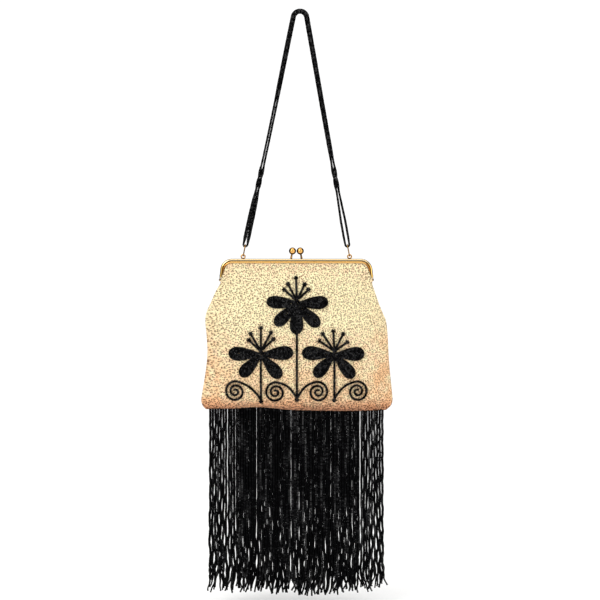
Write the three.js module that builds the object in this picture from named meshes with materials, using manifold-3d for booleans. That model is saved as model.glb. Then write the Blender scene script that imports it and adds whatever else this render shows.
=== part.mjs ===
// A clasp-frame evening purse: a hollow linen bag gripped by a two-part metal frame, bead flowers on its front,
// a bead fringe along its bottom seam and a handle of two doubled bead strings.
// Millimetres, +Z up, front towards -Y. The purse hangs from its handle, and the origin is the inside of the
// handle's bend, where a hook or a hand carries it.
import * as THREE from 'three';
import { mergeVertices } from 'three/addons/utils/BufferGeometryUtils.js';
import Module from 'manifold-3d';

const wasm = await Module();
wasm.setup();

const { degToRad, lerp, smoothstep } = THREE.MathUtils;

// Driving dimensions. X is measured from the middle of the bag, Z from the inside of the handle's bend.
const seat = 0.3; // clearance between pieces that meet
const hookX = 4; // the handle's bend lies this far right of the bag's middle

const frame = {
  topZ: -269.5, // top of the bar
  barHalf: 70.6, // half the straight stretch of the bar
  cornerR: 13, // outside of the rounded corner
  legFlare: degToRad(6), // the legs splay by this much
  legEndZ: -290,
  depth: 5, // front to back, each half
  split: 0.2, // from the middle plane to each half
  wall: 0.9, // the channel's sides
  roof: 1, // the channel's top
  crownR: 1.8, // rounding of the outer edge
  ease: 0.6, // bevel beside the closing face
  lip: 5, // height of the channel on the bar
  lipAtCorner: 4.5,
  lipAtHinge: 2.4,
};
const hinge = { z: -292.6, plate: 0.8, reach: 1.9, rise: 2.1, holeR: 1, pinR: 0.7, headR: 1.7, headT: 0.8 };
const knob = {
  x: 4.25, // the ball's centre, from the middle
  rise: 8.6, // and above the bar
  ballR: 4,
  footX: 5.8, // the post's foot
  y: 2.05,
  footR: 1.2,
  footH: 0.7,
  neckR: 0.8,
  shankR: 0.5,
};
const eyelet = { x: 58.6, y: 2.7, ringR: 2.1, wireR: 0.75, rise: 2.5 };
const link = { lean: degToRad(11), length: 13, width: 6.3, bendR: 2, wireR: 0.6 };
const strand = { r: 1.1, turnR: 2.2, beside: 1.2, atBend: 1.3, bendR: 7.4, bowLeft: 0.8, bowRight: 0.3 };

// How the four runs of string lie, from the left link to the right one: the half distance between the two runs
// of a loop, between the two loops, how far the loops slide out sideways into a flat band, and the bundle's roll.
const handleLay = [
  { share: 0, apart: 2.2, beside: 1.2, slide: 0, roll: 0 },
  { share: 0.015, apart: 2, beside: 0.85, slide: 0.85, roll: 0 },
  { share: 0.06, apart: 1.9, beside: 0.8, slide: 0.95, roll: 0 },
  { share: 0.09, apart: 1.75, beside: 0.9, slide: 0.75, roll: 0 },
  { share: 0.115, apart: 1.3, beside: 1.2, slide: 0.15, roll: 0 },
  { share: 0.125, apart: 1.6, beside: 1.3, slide: 0, roll: 0 },
  { share: 0.14, apart: 1.45, beside: 1.3, slide: 0, roll: 0 },
  { share: 0.155, apart: 1.6, beside: 1.3, slide: 0, roll: 0 },
  { share: 0.175, apart: 1.25, beside: 1.2, slide: 0, roll: 0 },
  { share: 0.25, apart: 1.2, beside: 1.2, slide: 0, roll: 38 },
  { share: 0.42, apart: 1.3, beside: 1.3, slide: 0, roll: 45 },
  { share: 0.6, apart: 1.3, beside: 1.3, slide: 0, roll: 45 },
  { share: 0.78, apart: 1.2, beside: 1.2, slide: 0, roll: 40 },
  { share: 0.825, apart: 1.25, beside: 1.2, slide: 0, roll: 0 },
  { share: 0.845, apart: 1.6, beside: 1.3, slide: 0, roll: 0 },
  { share: 0.86, apart: 1.45, beside: 1.3, slide: 0, roll: 0 },
  { share: 0.875, apart: 1.6, beside: 1.3, slide: 0, roll: 0 },
  { share: 0.89, apart: 1.3, beside: 1.2, slide: 0, roll: 0 },
  { share: 0.915, apart: 1.7, beside: 1.2, slide: 0.2, roll: 0 },
  { share: 0.95, apart: 2.4, beside: 1.2, slide: 0.25, roll: 0 },
  { share: 0.985, apart: 2.4, beside: 1.2, slide: 0.25, roll: 0 },
  { share: 1, apart: 2.2, beside: 1.2, slide: 0, roll: 0 },
];
const cloth = {
  wall: 1.6,
  rimInset: 1.6, // the cloth's edge lies this far inside the frame's outer edge
  rimDepth: 4, // from the middle plane to the outside of the edge
  lipClear: 0.8, // the cloth stays flat this far below the channel's lip
  loosen: 15, // and reaches its full bulge this much further down
  mouthEndZ: -295.5, // the panels part above this
  seamDepth: 1.2, // half the thickness of the side seams
  seamInset: 4, // the side seams' width
  crownPower: 2.6,
  crownFall: 0.8,
  bottomZ: -434.2,
  hemDrop: 1.4, // the bottom seam's rounding
  hemDepth: 2.4,
};
const beadwork = { clear: 0.45, height: 1.7, stemHalf: 1, dotHalf: 1.9, petalBase: 0.3, petalWidest: 0.76 };
const fringe = {
  half: 97, // half the fringe's width
  heading: 2, // height of the band that the strands hang from
  headingDepth: 2.6,
  locks: 32,
  lockHalf: 2.6,
  lockDepth: 1.1,
  stagger: 0.9, // every other lock hangs this far forward, the rest back
};

// The bag's outline as it hangs: half widths left and right of the middle, and half its depth.
const bagSections = [
  { z: -270, left: 79, right: 79, depth: 4 },
  { z: -295.5, left: 84, right: 83.6, depth: 9.5 },
  { z: -305, left: 89.4, right: 87, depth: 12 },
  { z: -318, left: 95.4, right: 91.5, depth: 14.2 },
  { z: -328, left: 100, right: 95.6, depth: 15.5 },
  { z: -338, left: 101.6, right: 99.6, depth: 16.5 },
  { z: -355, left: 100, right: 101.3, depth: 17.8 },
  { z: -370, left: 98.8, right: 101.8, depth: 18.4 },
  { z: -385, left: 99.4, right: 102.6, depth: 18.6 },
  { z: -400, left: 101.2, right: 103.8, depth: 18.2 },
  { z: -415, left: 103.4, right: 105.2, depth: 16 },
  { z: -425, left: 104.6, right: 105.8, depth: 12 },
  { z: -431, left: 103, right: 103.8, depth: 8 },
  { z: -437, left: 97, right: 97, depth: 4.4 },
];

// The bottom seam's slow wave: how far it lies above its mean.
const bottomWave = [
  { x: -105, up: 0.4 },
  { x: -70, up: 0.9 },
  { x: -40, up: 2.4 },
  { x: -9, up: -0.3 },
  { x: 37, up: -1.8 },
  { x: 76, up: -1.7 },
  { x: 105, up: 0.2 },
];

// Soft folds and dents of both panels: a line from head to foot, its width, and how far it stands out (or in).
const folds = [
  { headX: -80, headZ: -299, footX: -50, footZ: -338, width: 9, out: -1.5 },
  { headX: 80, headZ: -299, footX: 54, footZ: -336, width: 9, out: -1.3 },
  { headX: -97, headZ: -330, footX: -70, footZ: -348, width: 9, out: 1.3 },
  { headX: 98, headZ: -328, footX: 76, footZ: -352, width: 10, out: -1.7 },
  { headX: -40, headZ: -412, footX: -38, footZ: -436, width: 13, out: -1.4 },
  { headX: 20, headZ: -416, footX: 22, footZ: -436, width: 12, out: 1 },
];

// Petals and stamens by the way they point from the flower's heart, in degrees from +X, and how far they reach.
const sidePetals = [
  { turn: 179, reach: 35.4, half: 7.4 },
  { turn: 2, reach: 34.4, half: 7.4 },
  { turn: 228, reach: 31.6, half: 6.4 },
  { turn: 309, reach: 32.8, half: 6.4 },
];
const centrePetals = [
  { turn: 176, reach: 33.2, half: 6.4 },
  { turn: 2, reach: 33.6, half: 6.8 },
  { turn: 222, reach: 32.6, half: 6.5 },
  { turn: 314, reach: 33.8, half: 6.5 },
  { turn: 269, reach: 32.4, half: 7 },
];
const stamens = [
  { turn: 133, reach: 21.6 },
  { turn: 117, reach: 25 },
  { turn: 91, reach: 28 },
  { turn: 67, reach: 25 },
  { turn: 50, reach: 21 },
];
const flowers = [
  {
    name: 'flower_left',
    x: -38.6,
    z: -374.4,
    footZ: -425.2,
    petals: sidePetals,
    scrolls: [{ x: -67.3, z: -414.5 }],
  },
  {
    name: 'flower_centre',
    x: 0.6,
    z: -319.3,
    footZ: -423.2,
    petals: centrePetals,
    scrolls: [{ x: -23.4, z: -415.2 }, { x: 24.2, z: -414.8 }],
  },
  {
    name: 'flower_right',
    x: 41.4,
    z: -374.3,
    footZ: -423.8,
    petals: sidePetals,
    scrolls: [{ x: 67.3, z: -414.6 }],
  },
];

// A tendril's spiral, wound inwards: degrees round its centre from +X, and the way out from the centre there.
const spiral = [
  { turn: 75, r: 11.2 },
  { turn: 130, r: 10 },
  { turn: 180, r: 9.3 },
  { turn: 270, r: 9.1 },
  { turn: 360, r: 8.7 },
  { turn: 450, r: 6.4 },
  { turn: 540, r: 4.3 },
  { turn: 630, r: 4.1 },
  { turn: 720, r: 3.8 },
  { turn: 790, r: 2.2 },
  { turn: 840, r: 1.5 },
];

// How long and how wavy the fringe's locks are from side to side.
const fringeLengths = [
  { x: -97, z: -632 },
  { x: -60, z: -633 },
  { x: -20, z: -634 },
  { x: 20, z: -636 },
  { x: 55, z: -635 },
  { x: 80, z: -630.5 },
  { x: 97, z: -628.5 },
];
const lockShape = [
  { down: 0, wide: 1, sway: 0 },
  { down: 0.6, wide: 1, sway: 0.5 },
  { down: 0.92, wide: 0.85, sway: 1.3 },
  { down: 1, wide: 0.4, sway: 1.9 },
];

const metal = new THREE.MeshStandardMaterial({ color: 0xd9a441, roughness: 0.22, metalness: 1 });
const linen = new THREE.MeshStandardMaterial({ color: 0xe6cf9f, roughness: 0.95, metalness: 0 });
const jet = new THREE.MeshStandardMaterial({ color: 0x0b0b0d, roughness: 0.2, metalness: 0 });

// A smooth reading between the rows of a table: the value in one column, at a place along another.
function read(rows, along, column, at) {
  const rising = rows.at(-1)[along] > rows[0][along];
  const ordered = rising ? rows : [...rows].reverse();
  const last = ordered.length - 1;
  const i = Math.min(Math.max(ordered.findIndex((row) => row[along] > at) - 1, 0), last - 1);
  const k = at >= ordered[last][along] ? last - 1 : i;
  const slope = (n) => {
    const [a, b] = [ordered[Math.max(n - 1, 0)], ordered[Math.min(n + 1, last)]];
    return (b[column] - a[column]) / (b[along] - a[along]);
  };
  const span = ordered[k + 1][along] - ordered[k][along];
  const t = THREE.MathUtils.clamp((at - ordered[k][along]) / span, 0, 1);
  const [t2, t3] = [t * t, t * t * t];
  return (
    ordered[k][column] * (2 * t3 - 3 * t2 + 1) +
    ordered[k + 1][column] * (3 * t2 - 2 * t3) +
    span * (slope(k) * (t3 - 2 * t2 + t) + slope(k + 1) * (t3 - t2))
  );
}

// Closed skins and their joining and cutting

function capTriangles(ring) {
  const normal = new THREE.Vector3();
  ring.forEach((p, i) => normal.add(new THREE.Vector3().crossVectors(p, ring[(i + 1) % ring.length])));
  normal.normalize();
  const u = new THREE.Vector3(0, 0, 1).cross(normal);
  if (u.lengthSq() < 0.01) u.set(1, 0, 0).cross(normal);
  const v = new THREE.Vector3().crossVectors(normal, u);
  return THREE.ShapeUtils.triangulateShape(ring.map((p) => new THREE.Vector2(p.dot(u), p.dot(v))), []);
}

// A cap for a long wavy ring, straight across from one side to the other.
function zipTriangles(ring) {
  const last = ring.length - 1;
  return Array.from({ length: ring.length / 2 - 1 }, (_, i) => i).flatMap((i) => [
    [i, i + 1, last - i - 1],
    [i, last - i - 1, last - i],
  ]);
}

// The closed surface through a row of rings that all have the same number of points: capped at both ends,
// or running back into its first ring.
function skin(rings, { closed = false, cap = capTriangles } = {}) {
  const count = rings[0].length;
  const triangles = [];
  const lastStart = closed ? rings.length : rings.length - 1;
  for (let r = 0; r < lastStart; r++) {
    const next = (r + 1) % rings.length;
    for (let i = 0; i < count; i++) {
      const j = (i + 1) % count;
      const [a, b, c, d] = [r * count + i, r * count + j, next * count + j, next * count + i];
      triangles.push(a, b, c, a, c, d);
    }
  }
  if (!closed) {
    const end = (rings.length - 1) * count;
    cap(rings[0]).forEach(([a, b, c]) => triangles.push(a, c, b));
    cap(rings.at(-1)).forEach(([a, b, c]) => triangles.push(end + a, end + b, end + c));
  }
  const points = rings.flat();
  let volume = 0;
  for (let t = 0; t < triangles.length; t += 3) {
    const [a, b, c] = [points[triangles[t]], points[triangles[t + 1]], points[triangles[t + 2]]];
    volume += a.dot(new THREE.Vector3().crossVectors(b, c));
  }
  if (volume < 0) triangles.reverse();
  return new THREE.BufferGeometry().setFromPoints(points).setIndex(triangles);
}

function toSolid(geometry) {
  const bare = geometry.clone();
  bare.deleteAttribute('normal');
  bare.deleteAttribute('uv');
  const merged = mergeVertices(bare, 1e-4);
  const vertProperties = new Float32Array(merged.attributes.position.array);
  return new wasm.Manifold(
    new wasm.Mesh({ numProp: 3, vertProperties, triVerts: new Uint32Array(merged.index.array) }),
  );
}

function toGeometry(solid) {
  const { vertProperties, triVerts } = solid.getMesh();
  return new THREE.BufferGeometry()
    .setAttribute('position', new THREE.BufferAttribute(vertProperties, 3))
    .setIndex(new THREE.BufferAttribute(triVerts, 1));
}

// Joined pieces lose the slivers that meeting faces leave.
const fuse = (geometries) =>
  toGeometry(geometries.map(toSolid).reduce((whole, one) => whole.add(one)).asOriginal().simplify(0.01));
const cut = (geometry, tools) =>
  toGeometry(tools.map(toSolid).reduce((rest, one) => rest.subtract(one), toSolid(geometry)));

// Rings of a round section along a path, each square to the path and turned to the same reference direction.
function tubeRings(path, radius, sides, reference, closed) {
  return path.map((point, i) => {
    const before = path[closed ? (i + path.length - 1) % path.length : Math.max(i - 1, 0)];
    const after = path[closed ? (i + 1) % path.length : Math.min(i + 1, path.length - 1)];
    const ahead = new THREE.Vector3().subVectors(after, before).normalize();
    const side = reference.clone().addScaledVector(ahead, -reference.dot(ahead)).normalize();
    const other = new THREE.Vector3().crossVectors(ahead, side);
    return Array.from({ length: sides }, (_, k) => {
      const angle = (2 * Math.PI * (k + 0.5)) / sides;
      const spoke = side.clone().multiplyScalar(Math.cos(angle)).addScaledVector(other, Math.sin(angle));
      return point.clone().addScaledVector(spoke, radius);
    });
  });
}

const depthwise = new THREE.Vector3(0, 1, 0);

// The clasp frame

// The frame's outer edge from the middle of the bar to the end of the right leg, with its outward normal and
// the height of the channel's lip.
function rightEdge(barSteps, cornerSteps) {
  const edge = [];
  for (let i = 0; i <= barSteps; i++) {
    edge.push({ x: (frame.barHalf * i) / barSteps, z: frame.topZ, nx: 0, nz: 1, lip: frame.lip });
  }
  for (let i = 1; i <= cornerSteps; i++) {
    const angle = lerp(Math.PI / 2, frame.legFlare, i / cornerSteps);
    const [nx, nz] = [Math.cos(angle), Math.sin(angle)];
    const lip = lerp(frame.lip, frame.lipAtCorner, i / cornerSteps);
    edge.push({ x: frame.barHalf + frame.cornerR * nx, z: frame.topZ - frame.cornerR * (1 - nz), nx, nz, lip });
  }
  edge.push({ ...downTheLeg(edge.at(-1), frame.legEndZ), lip: frame.lipAtHinge });
  return edge;
}

function downTheLeg(from, z) {
  return { ...from, x: from.x + (from.z - z) * Math.tan(frame.legFlare), z };
}

const bothSides = (right) => [...right.slice(1).reverse().map((p) => ({ ...p, x: -p.x, nx: -p.nx })), ...right];

// Half of the frame's section, as pairs of (out from the edge, away from the middle plane).
function channelSection(lip) {
  const [near, far] = [frame.split, frame.split + frame.depth];
  const crown = [0, 30, 60, 90].map(degToRad).map((a) => [
    frame.crownR * (Math.sin(a) - 1),
    far + frame.crownR * (Math.cos(a) - 1),
  ]);
  const fillet = 0.4;
  return [
    [-lip, far],
    ...crown,
    [0, near + frame.ease],
    [-frame.ease, near],
    [-lip, near],
    [-lip, near + frame.wall],
    [-frame.roof, near + frame.wall],
    [-frame.roof, far - frame.wall - fillet],
    [-frame.roof - fillet, far - frame.wall],
    [-lip, far - frame.wall],
  ];
}

function channel(half) {
  return skin(
    bothSides(rightEdge(2, 5)).map((p) =>
      channelSection(p.lip).map(
        ([out, away]) => new THREE.Vector3(p.x + p.nx * out, half * away, p.z + p.nz * out),
      ),
    ),
  );
}

// The plate at the end of a leg that overlaps its partner's on the hinge pin. The front half's lies outside.
const legEndX = rightEdge(1, 1).at(-1).x;
const plateInside = { front: legEndX - hinge.plate, back: legEndX - 2 * hinge.plate - 0.4 };

function hingePlate(half, side) {
  const { reach, rise, z } = hinge;
  const outline = new THREE.Shape([
    new THREE.Vector2(half * 0.3, frame.legEndZ + 3),
    new THREE.Vector2(half * reach, frame.legEndZ + 3),
    new THREE.Vector2(half * reach, z - 0.5 * rise),
    new THREE.Vector2(half * 0.5 * reach, z - rise),
    new THREE.Vector2(-half * 0.5 * reach, z - rise),
    new THREE.Vector2(-half * reach, z - 0.5 * rise),
    new THREE.Vector2(-half * reach, frame.legEndZ - 0.5),
    new THREE.Vector2(half * 0.3, frame.legEndZ - 0.5),
  ]);
  const inside = half < 0 ? plateInside.front : plateInside.back;
  const plate = new THREE.ExtrudeGeometry(outline, { depth: hinge.plate, bevelEnabled: false });
  const upright = new THREE.Matrix4().set(0, 0, 1, 0, 1, 0, 0, 0, 0, 1, 0, 0, 0, 0, 0, 1);
  plate.applyMatrix4(upright);
  return plate.translate(side > 0 ? inside : -inside - hinge.plate, 0, 0);
}

function rodAlongX(radius, fromX, toX, y, z, sides) {
  const rod = new THREE.CylinderGeometry(radius, radius, toX - fromX, sides);
  return rod.rotateZ(Math.PI / 2).translate((fromX + toX) / 2, y, z);
}

function rodAlongZ(radius, fromZ, toZ, x, y, sides) {
  const rod = new THREE.CylinderGeometry(radius, radius, toZ - fromZ, sides);
  return rod.rotateX(Math.PI / 2).translate(x, y, (fromZ + toZ) / 2);
}

// The wire eyes that carry the handle stand on the back half's bar, soldered into its roof.
function eyeletRing(side) {
  const ring = new THREE.TorusGeometry(eyelet.ringR, eyelet.wireR, 6, 12);
  return ring.rotateX(Math.PI / 2).translate(side * eyelet.x, eyelet.y, frame.topZ + eyelet.rise);
}

function frameHalf(half) {
  const pieces = [channel(half), hingePlate(half, -1), hingePlate(half, 1)];
  if (half > 0) pieces.push(eyeletRing(-1), eyeletRing(1));
  const drill = legEndX + 2;
  return cut(fuse(pieces), [
    rodAlongX(hinge.holeR, -drill, drill, 0, hinge.z, 12),
    rodAlongZ(knob.shankR + seat, frame.topZ - 2, frame.topZ + 1, half * knob.footX, half * knob.y, 10),
  ]);
}

function hingeRivet(side) {
  const inner = plateInside.back - seat - hinge.headT;
  const outer = legEndX + seat + hinge.headT;
  const { headR, headT, pinR } = hinge;
  const half = (outer - inner) / 2;
  const profile = [
    [0, -half],
    [0.6 * headR, -half],
    [headR, -half + 0.5 * headT],
    [headR, -half + headT],
    [pinR, -half + headT],
    [pinR, half - headT],
    [headR, half - headT],
    [headR, half - 0.5 * headT],
    [0.6 * headR, half],
    [0, half],
  ];
  const rivet = new THREE.LatheGeometry(profile.map(([r, h]) => new THREE.Vector2(r, h)), 10);
  return rivet.rotateZ(Math.PI / 2).translate((side * (inner + outer)) / 2, 0, hinge.z);
}

// A ball on a leaning post, whose shank passes through the roof of its half of the frame. The two balls have
// snapped past each other and sit side by side over the closing line.
function claspKnob(half) {
  const foot = new THREE.Vector3(half * knob.footX, half * knob.y, frame.topZ + seat);
  const ball = new THREE.Vector3(half * knob.x, half * 0.3, frame.topZ + knob.rise);
  const lean = new THREE.Vector3().subVectors(ball, foot);
  const post = new THREE.CylinderGeometry(knob.neckR, knob.footR, lean.length(), 10);
  post.applyQuaternion(new THREE.Quaternion().setFromUnitVectors(depthwise, lean.clone().normalize()));
  post.translate(...foot.clone().addScaledVector(lean, 0.5).addScaledVector(lean.normalize(), 0.35));
  return fuse([
    new THREE.SphereGeometry(knob.ballR, 12, 8).rotateX(Math.PI / 2).translate(...ball),
    post,
    rodAlongZ(knob.footR, foot.z, foot.z + knob.footH, foot.x, foot.y, 10),
    rodAlongZ(knob.shankR, frame.topZ - frame.roof, foot.z + 0.4, foot.x, foot.y, 8),
  ]);
}

// The handle

// A link's lower wire hangs under the eyelet's ring, and the link leans with the handle.
function linkEnd(side, share) {
  const lowestZ = frame.topZ + eyelet.rise + eyelet.ringR - eyelet.wireR - link.wireR - seat;
  const along = share * link.length;
  return new THREE.Vector3(
    side * (eyelet.x - along * Math.sin(link.lean)),
    eyelet.y,
    lowestZ + along * Math.cos(link.lean),
  );
}

function strapLink(side) {
  const half = { w: link.width / 2 - link.bendR, h: link.length / 2 - link.bendR };
  const outline = new THREE.Path();
  [[1, 1], [-1, 1], [-1, -1], [1, -1]].forEach(([a, b], i) => {
    const from = (i * Math.PI) / 2;
    outline.absarc(a * half.w, b * half.h, link.bendR, from, from + Math.PI / 2, false);
  });
  const up = linkEnd(side, 1).sub(linkEnd(side, 0)).normalize();
  const middle = linkEnd(side, 0.5);
  const corners = outline.curves.filter((curve) => curve.isEllipseCurve).flatMap((curve) => curve.getPoints(3));
  const path = corners.map((p) => middle.clone().addScaledVector(depthwise, p.x).addScaledVector(up, p.y));
  const square = new THREE.Vector3().crossVectors(depthwise, up);
  return skin(tubeRings(path, link.wireR, 6, square, true), { closed: true });
}

// The middle of the handle's bundle at a share of its way from the left link to the right one: up, round the
// bend in an arc that both straight stretches meet smoothly, and down.
const bendTop = strand.r + Math.SQRT2 * strand.atBend;
const bendCentre = new THREE.Vector3(hookX, 0, bendTop - strand.bendR);

function tangentAngle(side) {
  const end = linkEnd(side, 1);
  const [dx, dz] = [end.x - bendCentre.x, end.z - bendCentre.z];
  return Math.atan2(dz, dx) + side * Math.acos(strand.bendR / Math.hypot(dx, dz));
}

const bendFrom = tangentAngle(-1) + 2 * Math.PI;
const bendTo = tangentAngle(1);
const onBend = (angle) =>
  new THREE.Vector3(
    bendCentre.x + strand.bendR * Math.cos(angle),
    0,
    bendCentre.z + strand.bendR * Math.sin(angle),
  );
const bendSpan = 0.024; // half the bend's share of the handle

function handleMiddle(share) {
  if (Math.abs(share - 0.5) <= bendSpan) {
    return onBend(lerp(bendFrom, bendTo, (share - 0.5 + bendSpan) / (2 * bendSpan)));
  }
  const side = share < 0.5 ? -1 : 1;
  const climb = (side < 0 ? share : 1 - share) / (0.5 - bendSpan);
  const bow = side < 0 ? strand.bowLeft : -strand.bowRight;
  const point = linkEnd(side, 1).lerp(onBend(side < 0 ? bendFrom : bendTo), climb);
  point.x += bow * Math.sin(Math.PI * climb) * Math.sin(Math.PI * climb);
  return point;
}

// The bundle makes half a turn near each end, so that its runs swap sides.
const twist = (share) => Math.PI * (smoothstep(share, 0.11, 0.17) - smoothstep(share, 0.83, 0.89));

function layAt(share, column) {
  const after = Math.max(handleLay.findIndex((row) => row.share >= share), 1);
  const [from, to] = [handleLay[after - 1], handleLay[after]];
  return lerp(from[column], to[column], (share - from.share) / (to.share - from.share));
}

function handleRun(share, run, loop) {
  const step = 0.002;
  const [before, after] = [handleMiddle(Math.max(share - step, 0)), handleMiddle(Math.min(share + step, 1))];
  const ahead = after.sub(before).normalize();
  const outward = new THREE.Vector3(-ahead.z, 0, ahead.x);
  const turn = twist(share) + degToRad(layAt(share, 'roll'));
  const [c, s] = [Math.cos(turn), Math.sin(turn)];
  const across = run * layAt(share, 'apart') + loop * layAt(share, 'slide');
  const deep = loop * layAt(share, 'beside');
  return handleMiddle(share)
    .addScaledVector(outward, across * c - deep * s)
    .addScaledVector(depthwise, across * s + deep * c);
}

// A doubled string: out along one run, round the right link's upper wire, back along the other run and round
// the left link's.
function strapLoop(loop) {
  const shares = handleLay.map((row) => row.share);
  const overBend = [-1, -0.6, -0.2, 0.2, 0.6, 1].map((k) => 0.5 + k * bendSpan);
  const all = [...shares, ...overBend].sort((a, b) => a - b);
  const turn = (side) => {
    const [centre, up] = [linkEnd(side, 1), linkEnd(side, 1).sub(linkEnd(side, 0)).normalize()];
    const across = new THREE.Vector3(up.z, 0, -up.x).multiplyScalar(side);
    return [0.25, 0.5, 0.75].map((k) =>
      centre
        .clone()
        .addScaledVector(across, strand.turnR * Math.cos(k * Math.PI))
        .addScaledVector(up, -strand.turnR * Math.sin(k * Math.PI))
        .addScaledVector(depthwise, loop * strand.beside),
    );
  };
  const path = [
    ...all.map((share) => handleRun(share, 1, loop)),
    ...turn(1),
    ...[...all].reverse().map((share) => handleRun(share, -1, loop)),
    ...turn(-1).reverse(),
  ];
  return skin(tubeRings(path, strand.r, 6, depthwise, true), { closed: true });
}

// The linen bag

// The way to the frame's edge from a point of a panel, and the lip there.
const edgeLine = bothSides(rightEdge(4, 6));
function nearestEdge(x, z) {
  let best = { gap: Infinity, lip: frame.lip };
  edgeLine.slice(1).forEach((b, i) => {
    const a = edgeLine[i];
    const [dx, dz] = [b.x - a.x, b.z - a.z];
    const t = THREE.MathUtils.clamp(((x - a.x) * dx + (z - a.z) * dz) / (dx * dx + dz * dz), 0, 1);
    const gap = Math.hypot(x - a.x - t * dx, z - a.z - t * dz);
    if (gap < best.gap) best = { gap, lip: lerp(a.lip, b.lip, t) };
  });
  return best;
}

const bottomAt = (x) => cloth.bottomZ + read(bottomWave, 'x', 'up', x);

function halfWidth(z, side) {
  if (z > cloth.mouthEndZ) {
    const { barHalf, cornerR, topZ, legFlare } = frame;
    const low = topZ - cornerR * (1 - Math.sin(legFlare));
    const rise = z - topZ + cornerR;
    if (z > low) return barHalf + Math.sqrt(Math.max(cornerR ** 2 - rise ** 2, 0)) - cloth.rimInset;
    return barHalf + cornerR * Math.cos(legFlare) + (low - z) * Math.tan(legFlare) - cloth.rimInset;
  }
  return read(bagSections, 'z', side < 0 ? 'left' : 'right', z);
}

function foldAt(x, z) {
  return folds.reduce((sum, { headX, headZ, footX, footZ, width, out }) => {
    const [dx, dz] = [footX - headX, footZ - headZ];
    const t = ((x - headX) * dx + (z - headZ) * dz) / (dx * dx + dz * dz);
    const off = Math.abs((x - headX) * dz - (z - headZ) * dx) / Math.hypot(dx, dz);
    const fade = smoothstep(t, -0.35, 0.25) * (1 - smoothstep(t, 0.7, 1.3));
    return sum + out * fade * Math.exp(-((off / width) ** 2));
  }, 0);
}

// How far the outside of a panel lies from the middle plane.
function panelDepth(x, z) {
  const across = Math.min(Math.abs(x) / halfWidth(z, x), 1);
  const crown = (1 - across ** cloth.crownPower) ** cloth.crownFall;
  const full = read(bagSections, 'z', 'depth', z);
  const bulge = cloth.seamDepth + (full - cloth.seamDepth + foldAt(x, z)) * crown;
  const { gap, lip } = nearestEdge(x, z);
  return lerp(cloth.rimDepth, bulge, smoothstep(gap, lip + cloth.lipClear, lip + cloth.loosen));
}

// One panel's columns: each starts on the frame's edge, and they share out the bottom seam evenly.
function panelColumns() {
  const right = rightEdge(4, 4);
  right.push({ ...downTheLeg(right.at(-1), cloth.mouthEndZ), end: true });
  let length = 0;
  right.forEach((p, i) => {
    if (i) length += Math.hypot(p.x - right[i - 1].x, p.z - right[i - 1].z);
    p.share = length;
  });
  right.forEach((p) => (p.share /= length));
  return bothSides(right).map((p) => ({ ...p, share: p.x < 0 ? -p.share : p.share }));
}

// A column's place at its edge (row 0), below the lip (row 1) or at a share of the way down to the seam.
function columnPoint(column, row) {
  if (row.inset) return { x: column.x - column.nx * cloth.rimInset, z: column.z - column.nz * cloth.rimInset };
  const drop = column.lip + cloth.lipClear;
  const below = column.end
    ? { x: column.x - column.nx * cloth.rimInset, z: column.z - 3 }
    : { x: column.x - column.nx * drop, z: column.z - column.nz * drop };
  const side = Math.sign(column.x);
  const bottom = bottomAt(column.share * fringe.half);
  const z = lerp(below.z, bottom, row.down);
  const from = Math.min(Math.abs(below.x) / halfWidth(below.z, side), 1);
  const across = lerp(from, Math.abs(column.share), smoothstep(row.down, 0, 1));
  return { x: side * across * halfWidth(z, side), z };
}

// A ring of the bag: along the front panel from left to right, and back along the rear one.
function bagRing(columns, row, layer) {
  const ring = columns.map((column) => {
    const { x, z } = columnPoint(column, row);
    if (layer === 'outside') {
      const depth = row.inset || row.down === 0 ? cloth.rimDepth : panelDepth(x, z);
      return row.hem ? [x, cloth.hemDepth, z - cloth.hemDrop] : [x, depth, z];
    }
    const inset = lerp(cloth.wall, cloth.seamInset, smoothstep(-z, -cloth.mouthEndZ, 330));
    const within = x * (1 - inset / halfWidth(z, x));
    const depth = row.inset || row.down === 0 ? cloth.rimDepth : panelDepth(within, z);
    return [within, depth - cloth.wall, z];
  });
  const front = ring.map(([x, depth, z]) => new THREE.Vector3(x, -depth, z));
  const rear = ring.map(([x, depth, z]) => new THREE.Vector3(x, depth, z)).reverse();
  return [...front, ...rear];
}

function purseBody() {
  const columns = panelColumns();
  const edge = { inset: true };
  const rows = (shares) => shares.map((down) => ({ down }));
  const outside = rows([0, 0.06, 0.14, 0.23, 0.33, 0.44, 0.55, 0.66, 0.76, 0.85, 0.92, 0.965, 1]);
  const inside = rows([0, 0.08, 0.23, 0.44, 0.66, 0.85, 0.95]);
  const rings = [
    ...inside.reverse().map((row) => bagRing(columns, row, 'inside')),
    bagRing(columns, edge, 'inside'),
    bagRing(columns, edge, 'outside'),
    ...outside.map((row) => bagRing(columns, row, 'outside')),
    bagRing(columns, { down: 1, hem: true }, 'outside'),
  ];
  return skin(rings, { cap: zipTriangles });
}

// Bead embroidery: raised bands and petals laid on the front panel

const bag = new THREE.Mesh(purseBody(), linen);
const probe = new THREE.Raycaster();

// Where the front panel's cloth lies at a place on it.
function clothFace(x, z) {
  probe.set(new THREE.Vector3(x, -100, z), depthwise);
  const [hit] = probe.intersectObject(bag);
  return hit ? hit.point.y : -panelDepth(x, z);
}

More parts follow.
